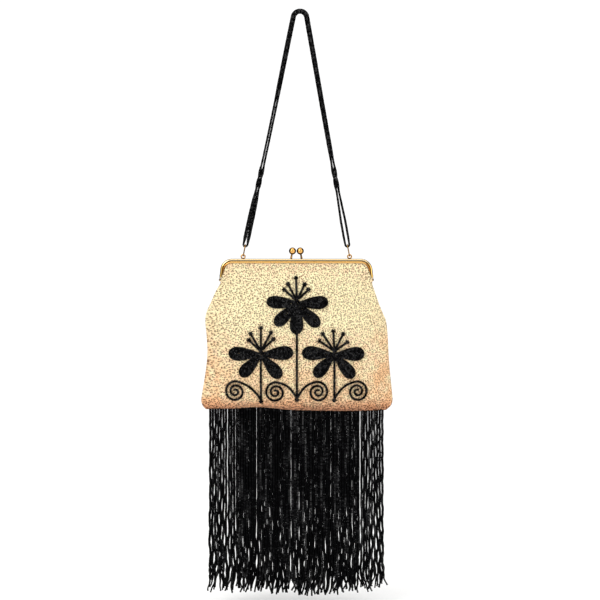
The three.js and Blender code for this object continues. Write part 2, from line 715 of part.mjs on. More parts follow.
// A band along a path on the panel, with its half width at each point. Bands that cross lie at different lifts.
function beadBand(path, halfWidths, lift) {
  const rings = path.map((p, i) => {
    const [before, after] = [path[Math.max(i - 1, 0)], path[Math.min(i + 1, path.length - 1)]];
    const ahead = new THREE.Vector2().subVectors(after, before).normalize();
    const half = halfWidths[i];
    const lay = (across, height) => {
      const [x, z] = [p.x - ahead.y * across * half, p.y + ahead.x * across * half];
      return new THREE.Vector3(x, clothFace(x, z) - beadwork.clear - lift - height, z);
    };
    const top = beadwork.height;
    return [lay(-1, 0), lay(1, 0), lay(0.75, 0.8 * top), lay(0, top), lay(-0.75, 0.8 * top)];
  });
  return skin(rings);
}

function pointing(turn, reach) {
  return new THREE.Vector2(reach * Math.cos(degToRad(turn)), reach * Math.sin(degToRad(turn)));
}

function petal(heart, { turn, reach, half }, lift) {
  const { petalBase, petalWidest } = beadwork;
  const shares = [0, 0.3, 0.58, 0.77, 0.9, 0.97, 1];
  const swell = (v) => {
    if (v < petalWidest) return lerp(petalBase, 1, Math.sin((0.5 * Math.PI * v) / petalWidest));
    return Math.sqrt(Math.max(1 - ((v - petalWidest) / (1.004 - petalWidest)) ** 2, 0));
  };
  const path = shares.map((v) => heart.clone().add(pointing(turn, reach * v)));
  return beadBand(path, shares.map((v) => half * swell(v)), lift);
}

// A row of beads that ends in a round knot of them.
function stalk(from, to, steps, lift) {
  const length = from.distanceTo(to);
  const knot = (2 * beadwork.dotHalf) / length;
  const line = Array.from({ length: steps }, (_, i) => [((1 - knot) * i) / (steps - 1), beadwork.stemHalf]);
  const bulb = [[0.3, 0.95], [0.7, 0.95], [1, 0.4]];
  const round = bulb.map(([k, wide]) => [1 - knot + knot * k, wide * beadwork.dotHalf]);
  const stops = [...line, ...round];
  return beadBand(stops.map(([t]) => from.clone().lerp(to, t)), stops.map(([, half]) => half), lift);
}

// A tendril that springs from a stem's foot and curls into a spiral.
function tendril(foot, centre, lift) {
  const side = Math.sign(centre.x - foot.x);
  const onSpiral = (turn) => {
    const r = read(spiral, 'turn', 'r', turn);
    const out = pointing(turn, r);
    return new THREE.Vector2(centre.x - side * out.x, centre.z + out.y);
  };
  const [first, last] = [spiral[0].turn, spiral.at(-1).turn];
  const start = onSpiral(first);
  const slope = degToRad(first);
  const back = new THREE.Vector2(-side * Math.sin(slope), -Math.cos(slope)).multiplyScalar(12);
  const rise = new THREE.CubicBezierCurve(
    foot,
    new THREE.Vector2(foot.x + side * 7.3, foot.y + 11.9),
    start.clone().add(back),
    start,
  );
  const path = rise.getPoints(4);
  for (let i = 1; i <= 24; i++) path.push(onSpiral(lerp(first, last, i / 24)));
  return beadBand(path, path.map(() => beadwork.stemHalf), lift);
}

function flower({ x, z, footZ, petals, scrolls }) {
  const heart = new THREE.Vector2(x, z);
  const foot = new THREE.Vector2(x, footZ);
  const fork = new THREE.Vector2(x, footZ + 1.2);
  return fuse([
    ...petals.map((one, i) => petal(heart, one, 0.05 * i)),
    ...stamens.map(({ turn, reach }, i) =>
      stalk(heart, heart.clone().add(pointing(turn, reach)), 3, 0.3 + 0.04 * i),
    ),
    stalk(heart, foot, 9, 0.27),
    ...scrolls.map((centre, i) => tendril(fork, centre, 0.06 + 0.1 * i)),
  ]);
}

// The bead fringe: locks of strands hung from a heading under the bottom seam

// The lowest line of the bag, from column to column.
const hem = panelColumns().map((column) => columnPoint(column, { down: 1 }));

function hemAt(x) {
  const i = Math.max(hem.findIndex((p) => p.x > x), 1);
  const [a, b] = [hem[i - 1], hem[i]];
  return lerp(a.z, b.z, (x - a.x) / (b.x - a.x)) - cloth.hemDrop;
}

function fringeLock(i) {
  const x = lerp(-fringe.half, fringe.half, (i + 0.5) / fringe.locks);
  const sway = Math.sin(i * 2.4) + 0.6 * Math.sin(i * 5.1 + 1);
  const topZ = hemAt(x) - seat - 0.6 * fringe.heading;
  const endZ = read(fringeLengths, 'x', 'z', x) + 2.2 * Math.sin(i * 3.7);
  const y = i % 2 ? fringe.stagger : -fringe.stagger;
  const rings = lockShape.map(({ down, wide, sway: share }) => {
    const [half, deep] = [fringe.lockHalf * wide, fringe.lockDepth * wide];
    const middle = x + sway * share;
    const z = lerp(topZ, endZ, down);
    return [[-1, 0], [-0.5, -1], [0.5, -1], [1, 0], [0.5, 1], [-0.5, 1]].map(
      ([a, b]) => new THREE.Vector3(middle + a * half, y + b * deep, z),
    );
  });
  return skin(rings);
}

function beadFringe() {
  const inner = hem.map((p) => p.x).filter((x) => Math.abs(x) < fringe.half - 1);
  const heading = [-fringe.half, ...inner, fringe.half].map((x) => {
    const top = hemAt(x) - seat;
    const deep = fringe.headingDepth / 2;
    return [[-deep, top], [deep, top], [deep, top - fringe.heading], [-deep, top - fringe.heading]].map(
      ([y, z]) => new THREE.Vector3(x, y, z),
    );
  });
  return fuse([skin(heading), ...Array.from({ length: fringe.locks }, (_, i) => fringeLock(i))]);
}

// The assembly. The purse's own middle lies beside the hook's.
const purse = new THREE.Group();
purse.position.x = -hookX;

function place(name, geometry, material) {
  const mesh = new THREE.Mesh(geometry, material.clone());
  mesh.name = name;
  purse.add(mesh);
}

place('purse_body', bag.geometry, linen);
place('frame_front', frameHalf(-1), metal);
place('frame_back', frameHalf(1), metal);
place('clasp_knob_front', claspKnob(-1), metal);
place('clasp_knob_back', claspKnob(1), metal);
for (const [side, word] of [[-1, 'left'], [1, 'right']]) {
  place(`hinge_rivet_${word}`, hingeRivet(side), metal);
  place(`strap_link_${word}`, strapLink(side), metal);
}
place('strap_loop_front', strapLoop(-1), jet);
place('strap_loop_back', strapLoop(1), jet);
flowers.forEach((one) => place(one.name, flower(one), jet));
place('bead_fringe', beadFringe(), jet);

const root = new THREE.Group();
root.add(purse);
export default root;
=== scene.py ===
import bpy
import math
import numpy as np
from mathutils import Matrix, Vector, noise
from mathutils.bvhtree import BVHTree


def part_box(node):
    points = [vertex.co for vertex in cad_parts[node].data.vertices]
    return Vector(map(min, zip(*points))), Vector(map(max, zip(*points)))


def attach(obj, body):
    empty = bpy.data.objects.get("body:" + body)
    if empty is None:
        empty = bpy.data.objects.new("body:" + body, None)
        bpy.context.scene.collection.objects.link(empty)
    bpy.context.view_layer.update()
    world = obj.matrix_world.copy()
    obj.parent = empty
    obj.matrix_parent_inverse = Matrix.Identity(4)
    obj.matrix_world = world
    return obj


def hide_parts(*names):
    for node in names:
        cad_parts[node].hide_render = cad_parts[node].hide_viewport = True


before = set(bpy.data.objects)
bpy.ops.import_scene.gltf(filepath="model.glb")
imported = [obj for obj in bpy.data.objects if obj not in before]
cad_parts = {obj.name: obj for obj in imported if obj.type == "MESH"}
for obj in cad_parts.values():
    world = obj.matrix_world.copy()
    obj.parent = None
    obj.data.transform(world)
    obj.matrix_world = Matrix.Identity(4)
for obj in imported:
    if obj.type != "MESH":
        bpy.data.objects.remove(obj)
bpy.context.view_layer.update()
mm = 0.001
print("frame loaded with", len(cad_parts), "solids")

# sideways places are counted from the clasp frame's middle, heights from the inside of the handle's bend
frameLow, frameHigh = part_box("frame_front")
bagX = (frameLow[0] + frameHigh[0]) / 2 / mm


# stage: camera, pale floor, soft lights

stageSet = {
    "distance": 2.0,
    "pictureWidth": 0.66,
    "sensor": 36,
    "aimZ": -0.3148,
    "lampAimZ": -0.36,
    "floorZ": -0.6505,
    "floorSize": 3,
    "floorTone": (0.97, 0.97, 0.965, 1),
    "behind": 1.08,  # a white backdrop far behind the purse
    "behindEdge": (0.95, 0.97),
    "front": 0.8,  # a pale wall behind the camera
    "frontEdge": (0.15, 0.5),
    "around": 0.05,  # the dim room to either side
}
softLights = [
    {"name": "topLight", "at": (0, 0.4, 2.6), "size": 5.0, "power": 165},
    {"name": "keyLight", "at": (-1.3, -1.9, 0.9), "size": 1.1, "power": 20},
    {"name": "fillLight", "at": (1.7, -1.6, 0.1), "size": 1.2, "power": 8},
]

scene = bpy.context.scene
scene.view_settings.view_transform = "Standard"


def objectMode():
    if bpy.context.object and bpy.context.object.mode != "OBJECT":
        bpy.ops.object.mode_set(mode="OBJECT")


def deselectAll():
    objectMode()
    bpy.ops.object.select_all(action="DESELECT")


deselectAll()
bpy.ops.object.camera_add(
    location=(0, -stageSet["distance"], stageSet["aimZ"]), rotation=(math.radians(90), 0, 0)
)
camera = bpy.context.object
camera.name = "frontCamera"
camera.data.sensor_width = stageSet["sensor"]
camera.data.lens = stageSet["sensor"] * stageSet["distance"] / stageSet["pictureWidth"]
camera.data.clip_start = 0.05
camera.data.clip_end = 60
scene.camera = camera


class Wire:
    def __init__(self, tree, socket=None):
        self.tree = tree
        self.socket = socket

    def node(self, kind, settings=None, sockets=None, out=0):
        made = self.tree.nodes.new(kind)
        for key, value in (settings or {}).items():
            setattr(made, key, value)
        for key, value in (sockets or {}).items():
            if isinstance(value, Wire):
                self.tree.links.new(value.socket, made.inputs[key])
            else:
                made.inputs[key].default_value = value
        return Wire(self.tree, made.outputs[out])

    def work(self, operation, first, second=0.0):
        return self.node("ShaderNodeMath", {"operation": operation}, {0: first, 1: second})

    def __add__(self, other):
        return self.work("ADD", self, other)

    def __sub__(self, other):
        return self.work("SUBTRACT", self, other)

    def __mul__(self, other):
        return self.work("MULTIPLY", self, other)

    def __rsub__(self, other):
        return self.work("SUBTRACT", other, self)

    __radd__ = __add__
    __rmul__ = __mul__

    def sine(self):
        return self.work("SINE", self)

    def between(self, low, high):
        sockets = {"Value": self, "From Min": low, "From Max": high}
        return self.node("ShaderNodeMapRange", {"interpolation_type": "SMOOTHSTEP"}, sockets)

    def mix(self, share, first, second):
        sockets = {"Factor": share, "A": first, "B": second}
        return self.node("ShaderNodeMix", {"data_type": "RGBA"}, sockets, "Result")

    def grain(self, scale, detail=2.0, rough=0.5, stretch=(1, 1, 1)):
        moved = self.node("ShaderNodeMapping", None, {"Vector": self, "Scale": stretch})
        sockets = {"Vector": moved, "Scale": scale, "Detail": detail, "Roughness": rough}
        return self.node("ShaderNodeTexNoise", None, sockets)

    def bump(self, strength, distance):
        sockets = {"Strength": strength, "Distance": distance, "Height": self}
        return self.node("ShaderNodeBump", None, sockets, "Normal")

    def part(self, key):  # X, Y or Z of a place, in mm
        return self.node("ShaderNodeSeparateXYZ", None, {"Vector": self}, key) * (1 / mm)

    def attribute(self, name):
        return self.node("ShaderNodeAttribute", {"attribute_name": name}, None, "Fac")


def newMaterial(name):
    material = bpy.data.materials.new(name)
    material.use_nodes = True
    shader = material.node_tree.nodes["Principled BSDF"]
    return material, Wire(material.node_tree), shader


def feed(tree, shader, **values):
    for key, value in values.items():
        socket = shader.inputs[key.replace("_", " ")]
        if isinstance(value, Wire):
            tree.tree.links.new(value.socket, socket)
        else:
            socket.default_value = value


world = bpy.data.worlds.new("studio")
world.use_nodes = True
scene.world = world
sky = Wire(world.node_tree)
aim = sky.node("ShaderNodeTexCoord", out="Generated")
aimY = sky.node("ShaderNodeSeparateXYZ", None, {"Vector": aim}, "Y")
around = stageSet["around"]
room = (0 - aimY).between(*stageSet["frontEdge"]) * (stageSet["front"] - around) + around
glow = aimY.between(*stageSet["behindEdge"]) * (stageSet["behind"] - around) + room
backdrop = world.node_tree.nodes["Background"]
world.node_tree.links.new(glow.socket, backdrop.inputs["Strength"])
backdrop.inputs["Color"].default_value = (1, 1, 1, 1)

deselectAll()
bpy.ops.mesh.primitive_plane_add(size=stageSet["floorSize"], location=(0, 0, stageSet["floorZ"]))
floor = bpy.context.object
floor.name = "floor"
floorPaint, floorTree, floorShader = newMaterial("paleFloor")
feed(floorTree, floorShader, Base_Color=stageSet["floorTone"], Roughness=0.9)
floor.data.materials.append(floorPaint)

for lamp in softLights:
    toward = Vector((0, 0, stageSet["lampAimZ"])) - Vector(lamp["at"])
    bpy.ops.object.light_add(
        type="AREA", location=lamp["at"], rotation=toward.to_track_quat("-Z", "Y").to_euler()
    )
    light = bpy.context.object
    light.name = lamp["name"]
    light.data.size = lamp["size"]
    light.data.energy = lamp["power"]
print("stage set")


# finishes

linenSet = {
    "thread": 0.85,  # mm from thread to thread
    "wander": 1.6,
    "gap": 2.1,  # mm from one dark gap between threads to the next
    "light": (0.985, 0.875, 0.535, 1),
    "pink": (0.975, 0.725, 0.465, 1),
    "shade": (0.05, 0.018, 0.002, 1),
    # threads and gaps under the warm tint and painted shade along the lower edge and up the sides
    "tintShadeLight": (0.9, 0.56, 0.3, 1),
    "tintShadeGap": (0.15, 0.04, 0.005, 1),
    "fleck": (0.16, 0.065, 0.02, 1),
    # threads and gaps along the hem, partly painted shade where the panel curves under to the seam
    "hemLight": (0.84, 0.34, 0.165, 1),
    "hemShade": (0.03, 0.008, 0.003, 1),
    # mm down from the bend, or out from the middle of the bag
    "paleFrom": (275, 305),
    "paleTo": (335, 365),
    "lowDarkeningFrom": (345, 432),
    "hemFrom": (417, 438),
    "sidesFrom": (66, 104),
    "sidesMiddle": -4,
}


def makeLinen():
    material, tree, shader = newMaterial("slubLinen")
    place = tree.node("ShaderNodeTexCoord", out="Object")
    across, deep, up = (place.part(key) for key in "XYZ")
    down, grain = 0 - up, place.grain
    # threads wander a little, and are thick and thin along their length
    turnsX = (across + (grain(220) - 0.5) * linenSet["wander"]) * (1 / linenSet["thread"]) * math.pi
    turnsZ = (up + (grain(260) - 0.5) * linenSet["wander"]) * (1 / linenSet["thread"]) * math.pi
    slubUp = grain(1000, 1.0, 0.5, (0.7, 0.4, 0.16)).between(0.45, 0.7)
    slubAcross = grain(1000, 1.0, 0.5, (0.16, 0.4, 0.7)).between(0.45, 0.7)
    over = turnsX.sine() * turnsZ.sine()
    warp = turnsX.sine() * turnsX.sine() * (0.55 + 0.35 * over + 0.5 * slubUp)
    weft = turnsZ.sine() * turnsZ.sine() * (0.55 - 0.35 * over + 0.5 * slubAcross)
    upper = tree.work("MAXIMUM", warp, weft)
    # dark gaps between the threads, some darker than others, no two close together
    flatWays = tree.node("ShaderNodeCombineXYZ", None, {"X": across + deep, "Y": up})
    spacing = {"Vector": flatWays, "Scale": 1 / linenSet["gap"]}
    fromGap = tree.node("ShaderNodeTexVoronoi", {"voronoi_dimensions": "2D"}, spacing, "Distance")
    lot = tree.node("ShaderNodeTexVoronoi", {"voronoi_dimensions": "2D"}, spacing, "Color")
    lot = tree.node("ShaderNodeSeparateColor", None, {"Color": lot}, "Red")
    gaps = (1 - fromGap.between(0.14, 0.5)) * (0.45 + 0.55 * lot)
    speck = grain(950, 0.0, 0.5)
    mottle = grain(75, 3.0, 0.6)
    # a warm tint of age together with painted shade, most of all along the lower edge, where the panel
    # curves under, and up the sides, least in a band across the middle
    lowDarkening = down.between(*linenSet["lowDarkeningFrom"])
    sides = tree.work("ABSOLUTE", across - linenSet["sidesMiddle"]).between(*linenSet["sidesFrom"]) * 0.6
    pale = down.between(*linenSet["paleFrom"]) * (1 - down.between(*linenSet["paleTo"]))
    tintAndShade = (0.12 + lowDarkening * 0.7 + sides) * mottle.between(0.25, 0.65) * (1 - 0.5 * pale)
    hue = grain(190, 2.0, 0.6).between(0.4, 0.6) * (0.9 - 0.6 * pale)
    light = tree.mix(tintAndShade, tree.mix(hue, linenSet["light"], linenSet["pink"]), linenSet["tintShadeLight"])
    shade = tree.mix(tintAndShade, linenSet["shade"], linenSet["tintShadeGap"])
    hem = down.between(*linenSet["hemFrom"]) * 0.85
    light, shade = tree.mix(hem, light, linenSet["hemLight"]), tree.mix(hem, shade, linenSet["hemShade"])
    # darker along the hem, partly painted shade where the panel curves under to the seam: the hem is darker,
    # and so are its gaps
    tone = 0.3 * upper + 0.12 * (slubUp + slubAcross) + speck - 0.5 + 0.4 * (mottle - 0.5)
    tone = tone - 1.2 * hem
    cloth = tree.mix(tone.between(-1.6, 0.0) * (1 - gaps * (1 + 0.6 * hem)), shade, light)
    flecks = grain(1000, 0.5, 0.5).between(0.62, 0.68) * 0.85
    cloth = tree.mix(flecks, cloth, linenSet["fleck"])
    bump = (upper + 0.6 * speck).bump(0.55, 0.0005)
    feed(tree, shader, Base_Color=cloth, Roughness=0.92 - 0.1 * upper, Normal=bump)
    feed(tree, shader, Sheen_Weight=0.08, Sheen_Roughness=0.6, Specular_IOR_Level=0.2)
    return material


giltSet = {
    "plain": (0.78, 0.42, 0.12, 1),
    # dark gilt for the painted dark reflection at the rim and round the knob balls, and for the darker small
    # pieces
    "paintedDarkGilt": (0.1, 0.05, 0.014, 1),
    # painted highlight: the crown is paler gold than the lip, where it catches the lamp above, less so down
    # the legs
    "crown": (1.0, 0.8, 0.47, 1),
    "legCrown": (0.95, 0.6, 0.17, 1),
    "lip": (0.86, 0.53, 0.17, 1),
    # painted reflection of the linen: the lip turns orange round the corners and down the legs
    "corner": (0.95, 0.38, 0.07, 1),
    # colour of the painted shade and dark reflection in the groove and along the inner edge
    "paintedShade": (0.05, 0.02, 0.003, 1),
    "bendFrom": (271, 279),  # mm down from the handle's bend
    # mm in from the frame's outer edge, but the first is a scale of painted darkening for all the metal, a
    # painted dark reflection at the frame's rim and round the knob balls
    "darkeningFrom": (0.02, 0.1),
    "crownFrom": (0.65, 0.85),
    "grooveFrom": (1.7, 1.9),
    "grooveTo": (2.95, 3.15),
    "lipFrom": (2.1, 2.3),
    "edgeFrom": (3.5, 4.2),
}
# how dark each piece is painted, on the scale of darkeningFrom: a painted dark reflection at the frame's rim
# and round the knob balls, darker eyelets, links, posts and rivets
darkeningMarks = {"rim": 0.1, "ball": (0.02, 0.1), "post": 0.06, "eyelet": 0.04, "link": 0.065, "rivet": 0.1}


def makeGilt():
    material, tree, shader = newMaterial("giltMetal")
    place = tree.node("ShaderNodeTexCoord", out="Object")
    worn = place.grain(160, 4.0)
    lines = place.grain(1.0, 2.0, 0.5, (30, 900, 900))  # brushed along the bar
    inward = tree.attribute("inward")
    bend = (0 - place.part("Z")).between(*giltSet["bendFrom"])
    # painted highlight on the crown, paler along the bar than down the legs
    crown = tree.mix(bend, giltSet["crown"], giltSet["legCrown"])
    # painted reflection of the linen, orange on the lip round the corners and down the legs
    lip = tree.mix(bend, giltSet["lip"], giltSet["corner"])
    # painted dark reflection along the frame's rim and round the knob balls; the small pieces are painted
    # darker
    gold = tree.mix(inward.between(*giltSet["darkeningFrom"]), giltSet["plain"], giltSet["paintedDarkGilt"])
    gold = tree.mix(inward.between(*giltSet["crownFrom"]), gold, crown)
    gold = tree.mix(inward.between(*giltSet["lipFrom"]) * (0.8 + 0.2 * worn), gold, lip)
    # painted shade and dark reflection lie in the rolled groove, and painted shade along the inner edge
    # round the corners
    groove = inward.between(*giltSet["grooveFrom"]) * (1 - inward.between(*giltSet["grooveTo"]))
    edge = inward.between(*giltSet["edgeFrom"]) * bend
    paintedShade = tree.work("MAXIMUM", groove, edge)
    gold = tree.mix(paintedShade * 0.92, gold, giltSet["paintedShade"])
    rough = 0.05 + 0.1 * worn.between(0.3, 0.8) + 0.05 * lines + 0.3 * paintedShade
    feed(tree, shader, Base_Color=gold, Roughness=rough, Normal=lines.bump(0.08, 0.0002), Metallic=1.0)
    return material


jetSet = {"black": (0.0008, 0.0008, 0.001, 1), "grey": (0.003, 0.003, 0.0036, 1)}


def makeJet():
    material, tree, shader = newMaterial("jetGlass")
    tone = tree.attribute("beadTone")
    haze = tree.node("ShaderNodeTexCoord", out="Object").grain(900)
    black = tree.mix(tone, jetSet["black"], jetSet["grey"])
    feed(tree, shader, Base_Color=black, Roughness=0.16 + 0.14 * tone + 0.08 * haze)
    # some beads have kept their polish
    feed(tree, shader, Coat_Weight=tone * tone * tone, Coat_Roughness=0.12)
    feed(tree, shader, IOR=1.5, Specular_IOR_Level=0.02)
    return material


linen, gilt, jet = makeLinen(), makeGilt(), makeJet()
print("finishes mixed")


# steps that several pieces share

def readTable(table, along, column, at):  # a smooth curve through the points of a table
    x, y = np.array(table[along], float), np.array(table[column], float)
    if x[0] > x[-1]:
        x, y = x[::-1], y[::-1]
    stops = np.arange(len(x))
    before, after = np.maximum(stops - 1, 0), np.minimum(stops + 1, len(x) - 1)
    slope = (y[after] - y[before]) / (x[after] - x[before])
    i = np.clip(np.searchsorted(x, at, side="right") - 1, 0, len(x) - 2)
    span = x[i + 1] - x[i]
    t = np.clip((at - x[i]) / span, 0, 1)
    rise = y[i] * (2 * t**3 - 3 * t**2 + 1) + y[i + 1] * (3 * t**2 - 2 * t**3)
    return rise + span * (slope[i] * (t**3 - 2 * t**2 + t) + slope[i + 1] * (t**3 - t**2))


def ease(value, low, high):
    t = np.clip((np.asarray(value, float) - low) / (high - low), 0, 1)
    return t * t * (3 - 2 * t)


def ripple(points, size, seed):  # smooth noise about zero
    return np.array([noise.noise(Vector(p) / size + Vector((seed, 0, seed))) for p in points])


def startPiece(name, finish, add, **settings):
    deselectAll()
    add(**settings)
    piece = bpy.context.object
    piece.name = piece.data.name = name
    piece.data.materials.clear()
    piece.data.materials.append(finish)
    return piece


def editMode(select="SELECT"):
    bpy.ops.object.mode_set(mode="EDIT")
    bpy.ops.mesh.select_mode(type="FACE")
    bpy.ops.mesh.select_all(action=select)


def selectFaces(piece, test):
    editMode("DESELECT")
    objectMode()
    for face in piece.data.polygons:
        face.select = test(face)
    bpy.ops.object.mode_set(mode="EDIT")


def applyPlace():
    objectMode()
    bpy.ops.object.transform_apply(location=True, rotation=True, scale=True)


def applyModifier(piece, kind, **settings):
    objectMode()
    modifier = piece.modifiers.new(kind.lower(), kind)
    for key, value in settings.items():
        setattr(modifier, key, value)
    bpy.ops.object.modifier_apply(modifier=modifier.name)


def extrude(way):
    bpy.ops.mesh.extrude_region_move(TRANSFORM_OT_translate={"value": way})


def closeSeams(within):  # doubles merged, faces turned outwards
    editMode()
    bpy.ops.mesh.remove_doubles(threshold=within)
    bpy.ops.mesh.normals_make_consistent(inside=False)
    objectMode()


def activate(piece):
    deselectAll()
    bpy.context.view_layer.objects.active = piece
    piece.select_set(True)


def fuse(base, others):
    activate(base)
    for other in others:
        applyModifier(base, "BOOLEAN", operation="UNION", solver="EXACT", object=other)
        bpy.data.objects.remove(other, do_unlink=True)


def pointsOf(piece):
    return np.array([vertex.co[:] for vertex in piece.data.vertices])


def handOver(piece, slot, *nodes):
    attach(piece, "root")
    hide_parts(*nodes)


def finishMetal(piece, degrees, marks, node):  # marks are what the gilt reads as "inward"
    activate(piece)
    bpy.ops.object.shade_smooth_by_angle(angle=math.radians(degrees))
    inward = piece.data.attributes.new("inward", "FLOAT", "POINT")
    inward.data.foreach_set("value", np.full(len(piece.data.vertices), marks, np.float32))
    handOver(piece, "gilt_metal", node)


# linen bag

frameForm = {
    "topZ": frameHigh[2] / mm, "barHalf": 70.6, "cornerR": 13.0,
    "flare": math.radians(6), "legEndZ": -290.0,
    "lip": 5.0, "lipAtCorner": 4.5, "lipAtHinge": 2.0,
    "lipNarrows": 9,  # over so many mm of a leg
}
bagForm = {
    "wall": 1.5, "rimInset": 1.6, "rimDepth": 4.0, "lipClear": 0.8, "loosen": 15.0,
    "mouthEndZ": -295.5, "looseDrop": 3, "gatherAt": 9, "gatherReach": 8,
    "seamDepth": 0.35, "seamInset": 3.2, "seamInsetZ": -330, "seamReach": 9,
    "innerLess": 0.5, "innerLeast": 0.05, "innerFoot": 0.975,
    "crownPower": 2.6, "crownFall": 0.8,
    "bottomZ": -434.2, "bottomHalf": 98.0, "hemDrop": 1.2, "hemRound": 5.5, "hemThin": 0.3,
    "columns": 133, "outerRows": 104, "outerPower": 1.25, "innerRows": 34,
}
bagSections = {
    "z": [-270, -295.5, -305, -318, -328, -338, -355, -370, -385, -400, -415, -425, -431, -437],
    "left": [79, 84, 89.4, 95.4, 100, 101.6, 100, 98.8, 99.4, 101.2, 103.4, 104.6, 103, 97],
    "right": [79, 83.6, 87, 91.5, 95.6, 99.6, 101.3, 101.8, 102.6, 103.8, 105.2, 105.8, 103.8, 97],
    "depth": [4, 9.5, 12, 14.2, 15.5, 16.5, 17.8, 18.4, 18.6, 18.2, 16, 12, 8, 4.4],
}
bottomWave = {"x": [-105, -70, -40, -9, 37, 76, 105], "up": [0.4, 0.9, 2.4, -0.3, -1.8, -1.7, 0.2]}
bagFolds = [
    {"head": (-80, -299), "foot": (-50, -338), "width": 9, "out": -1.5},
    {"head": (80, -299), "foot": (54, -336), "width": 9, "out": -1.3},
    {"head": (-97, -330), "foot": (-70, -348), "width": 9, "out": 1.3},
    {"head": (98, -328), "foot": (76, -352), "width": 10, "out": -1.7},
    {"head": (-40, -412), "foot": (-38, -436), "width": 13, "out": -1.4},
    {"head": (20, -416), "foot": (22, -436), "width": 12, "out": 1.0},
]
# mm high, mm wide, seed, and factors for x, y and z, below 1 where a wrinkle is drawn out
bagWrinkles = {
    "broad": (0.75, 46, 3, [1, 1, 1]),
    "small": (0.3, 19, 9, [1, 1, 1]),
    "gather": (0.3, 6.5, 21, [1, 1, 0.25]),
    "seam": (0.55, 8, 5, [0.4, 1, 1]),
    "hem": (0.5, 9, 14, [1, 1, 0.4]),
}


def frameEdge(run):  # along the frame's outer edge from the middle of its bar, in mm
    side, far = np.where(run < 0, -1.0, 1.0), np.abs(run)
    bar, radius, flare = frameForm["barHalf"], frameForm["cornerR"], frameForm["flare"]
    bend = math.pi / 2 - flare
    angle = math.pi / 2 - np.clip((far - bar) / radius, 0, bend)
    past = np.maximum(far - bar - radius * bend, 0)
    x = np.minimum(far, bar) + radius * np.cos(angle) + past * math.sin(flare)
    z = frameForm["topZ"] - radius * (1 - np.sin(angle)) - past * math.cos(flare)
    stops = [bar, bar + radius * bend, bar + radius * bend + frameForm["lipNarrows"]]
    lip = np.interp(far, stops, [frameForm["lip"], frameForm["lipAtCorner"], frameForm["lipAtHinge"]])
    nx, nz = side * np.cos(angle), np.sin(angle)
    return {"x": side * x, "z": z, "nx": nx, "nz": nz, "lip": lip, "past": past}


legStart = frameForm["barHalf"] + frameForm["cornerR"] * (math.pi / 2 - frameForm["flare"])
legTopZ = float(frameEdge(np.array([legStart]))["z"][0])
legEnd = legStart + (legTopZ - frameForm["legEndZ"]) / math.cos(frameForm["flare"])
mouthEnd = legStart + (legTopZ - bagForm["mouthEndZ"]) / math.cos(frameForm["flare"])
edgeLine = frameEdge(np.linspace(-legEnd, legEnd, 300))


def edgeNear(x, z):  # which point of the frame's edge is nearest, and how far away
    gaps = np.hypot(x[:, None] - edgeLine["x"][None], z[:, None] - edgeLine["z"][None])
    return gaps.argmin(axis=1), gaps.min(axis=1)


def halfWidth(z, x):
    left, right = (readTable(bagSections, "z", side, z) for side in ("left", "right"))
    radius, top = frameForm["cornerR"], frameForm["topZ"]
    corner = frameForm["barHalf"] + np.sqrt(np.maximum(radius**2 - (z - top + radius) ** 2, 0))
    leg = float(edgeLine["x"][-1]) + (frameForm["legEndZ"] - z) * math.tan(frameForm["flare"])
    inFrame = np.where(z > legTopZ, corner, leg) - bagForm["rimInset"]
    return np.where(z > bagForm["mouthEndZ"], inFrame, np.where(x < 0, left, right))


def foldAt(x, z):
    total = np.zeros_like(x)
    for fold in bagFolds:
        (hx, hz), (fx, fz) = fold["head"], fold["foot"]
        dx, dz = fx - hx, fz - hz
        t = ((x - hx) * dx + (z - hz) * dz) / (dx * dx + dz * dz)
        off = np.abs((x - hx) * dz - (z - hz) * dx) / math.hypot(dx, dz)
        fade = ease(t, -0.35, 0.25) * (1 - ease(t, 0.7, 1.3))
        total += fold["out"] * fade * np.exp(-((off / fold["width"]) ** 2))
    return total


def bottomAt(x):
    return bagForm["bottomZ"] + readTable(bottomWave, "x", "up", x)


def panelDepth(x, z):  # from the middle plane to the outside of a panel
    across = np.minimum(np.abs(x) / halfWidth(z, x), 1)
    crown = (1 - across ** bagForm["crownPower"]) ** bagForm["crownFall"]
    full = readTable(bagSections, "z", "depth", z)
    bulge = bagForm["seamDepth"] + (full - bagForm["seamDepth"] + foldAt(x, z)) * crown
    nearest, gap = edgeNear(x, z)
    lip = edgeLine["lip"][nearest]
    free = ease(gap, lip + bagForm["lipClear"], lip + bagForm["loosen"])
    # the seam along the bottom closes the panels in a round edge
    above = np.maximum(z - (bottomAt(x) - bagForm["hemDrop"]), 0)
    closing = np.sqrt(1 - (1 - np.clip(above / bagForm["hemRound"], 0, 1)) ** 2)
    depth = bagForm["rimDepth"] + (bulge - bagForm["rimDepth"]) * free
    return depth * closing + bagForm["hemThin"] * (1 - closing)


def panelPlaces(run, down):  # a panel's columns at one row: on the rim, then from below the lip to the seam
    edge = frameEdge(run)
    share = run / mouthEnd
    if down is None:
        return edge["x"] - edge["nx"] * bagForm["rimInset"], edge["z"] - edge["nz"] * bagForm["rimInset"]
    loose = np.clip((edge["past"] - (legEnd - legStart)) / (mouthEnd - legEnd), 0, 1)
    drop = edge["lip"] + bagForm["lipClear"]
    belowX = edge["x"] - edge["nx"] * (drop * (1 - loose) + bagForm["rimInset"] * loose)
    belowZ = edge["z"] - edge["nz"] * drop * (1 - loose) - bagForm["looseDrop"] * loose
    side = np.where(run < 0, -1.0, 1.0)
    bottom = bottomAt(share * bagForm["bottomHalf"]) - bagForm["hemDrop"]
    z = belowZ + (bottom - belowZ) * down
    start = np.minimum(np.abs(belowX) / halfWidth(belowZ, side), 1)
    across = start + (np.abs(share) - start) * ease(down, 0, 1)
    return side * across * halfWidth(z, side), z


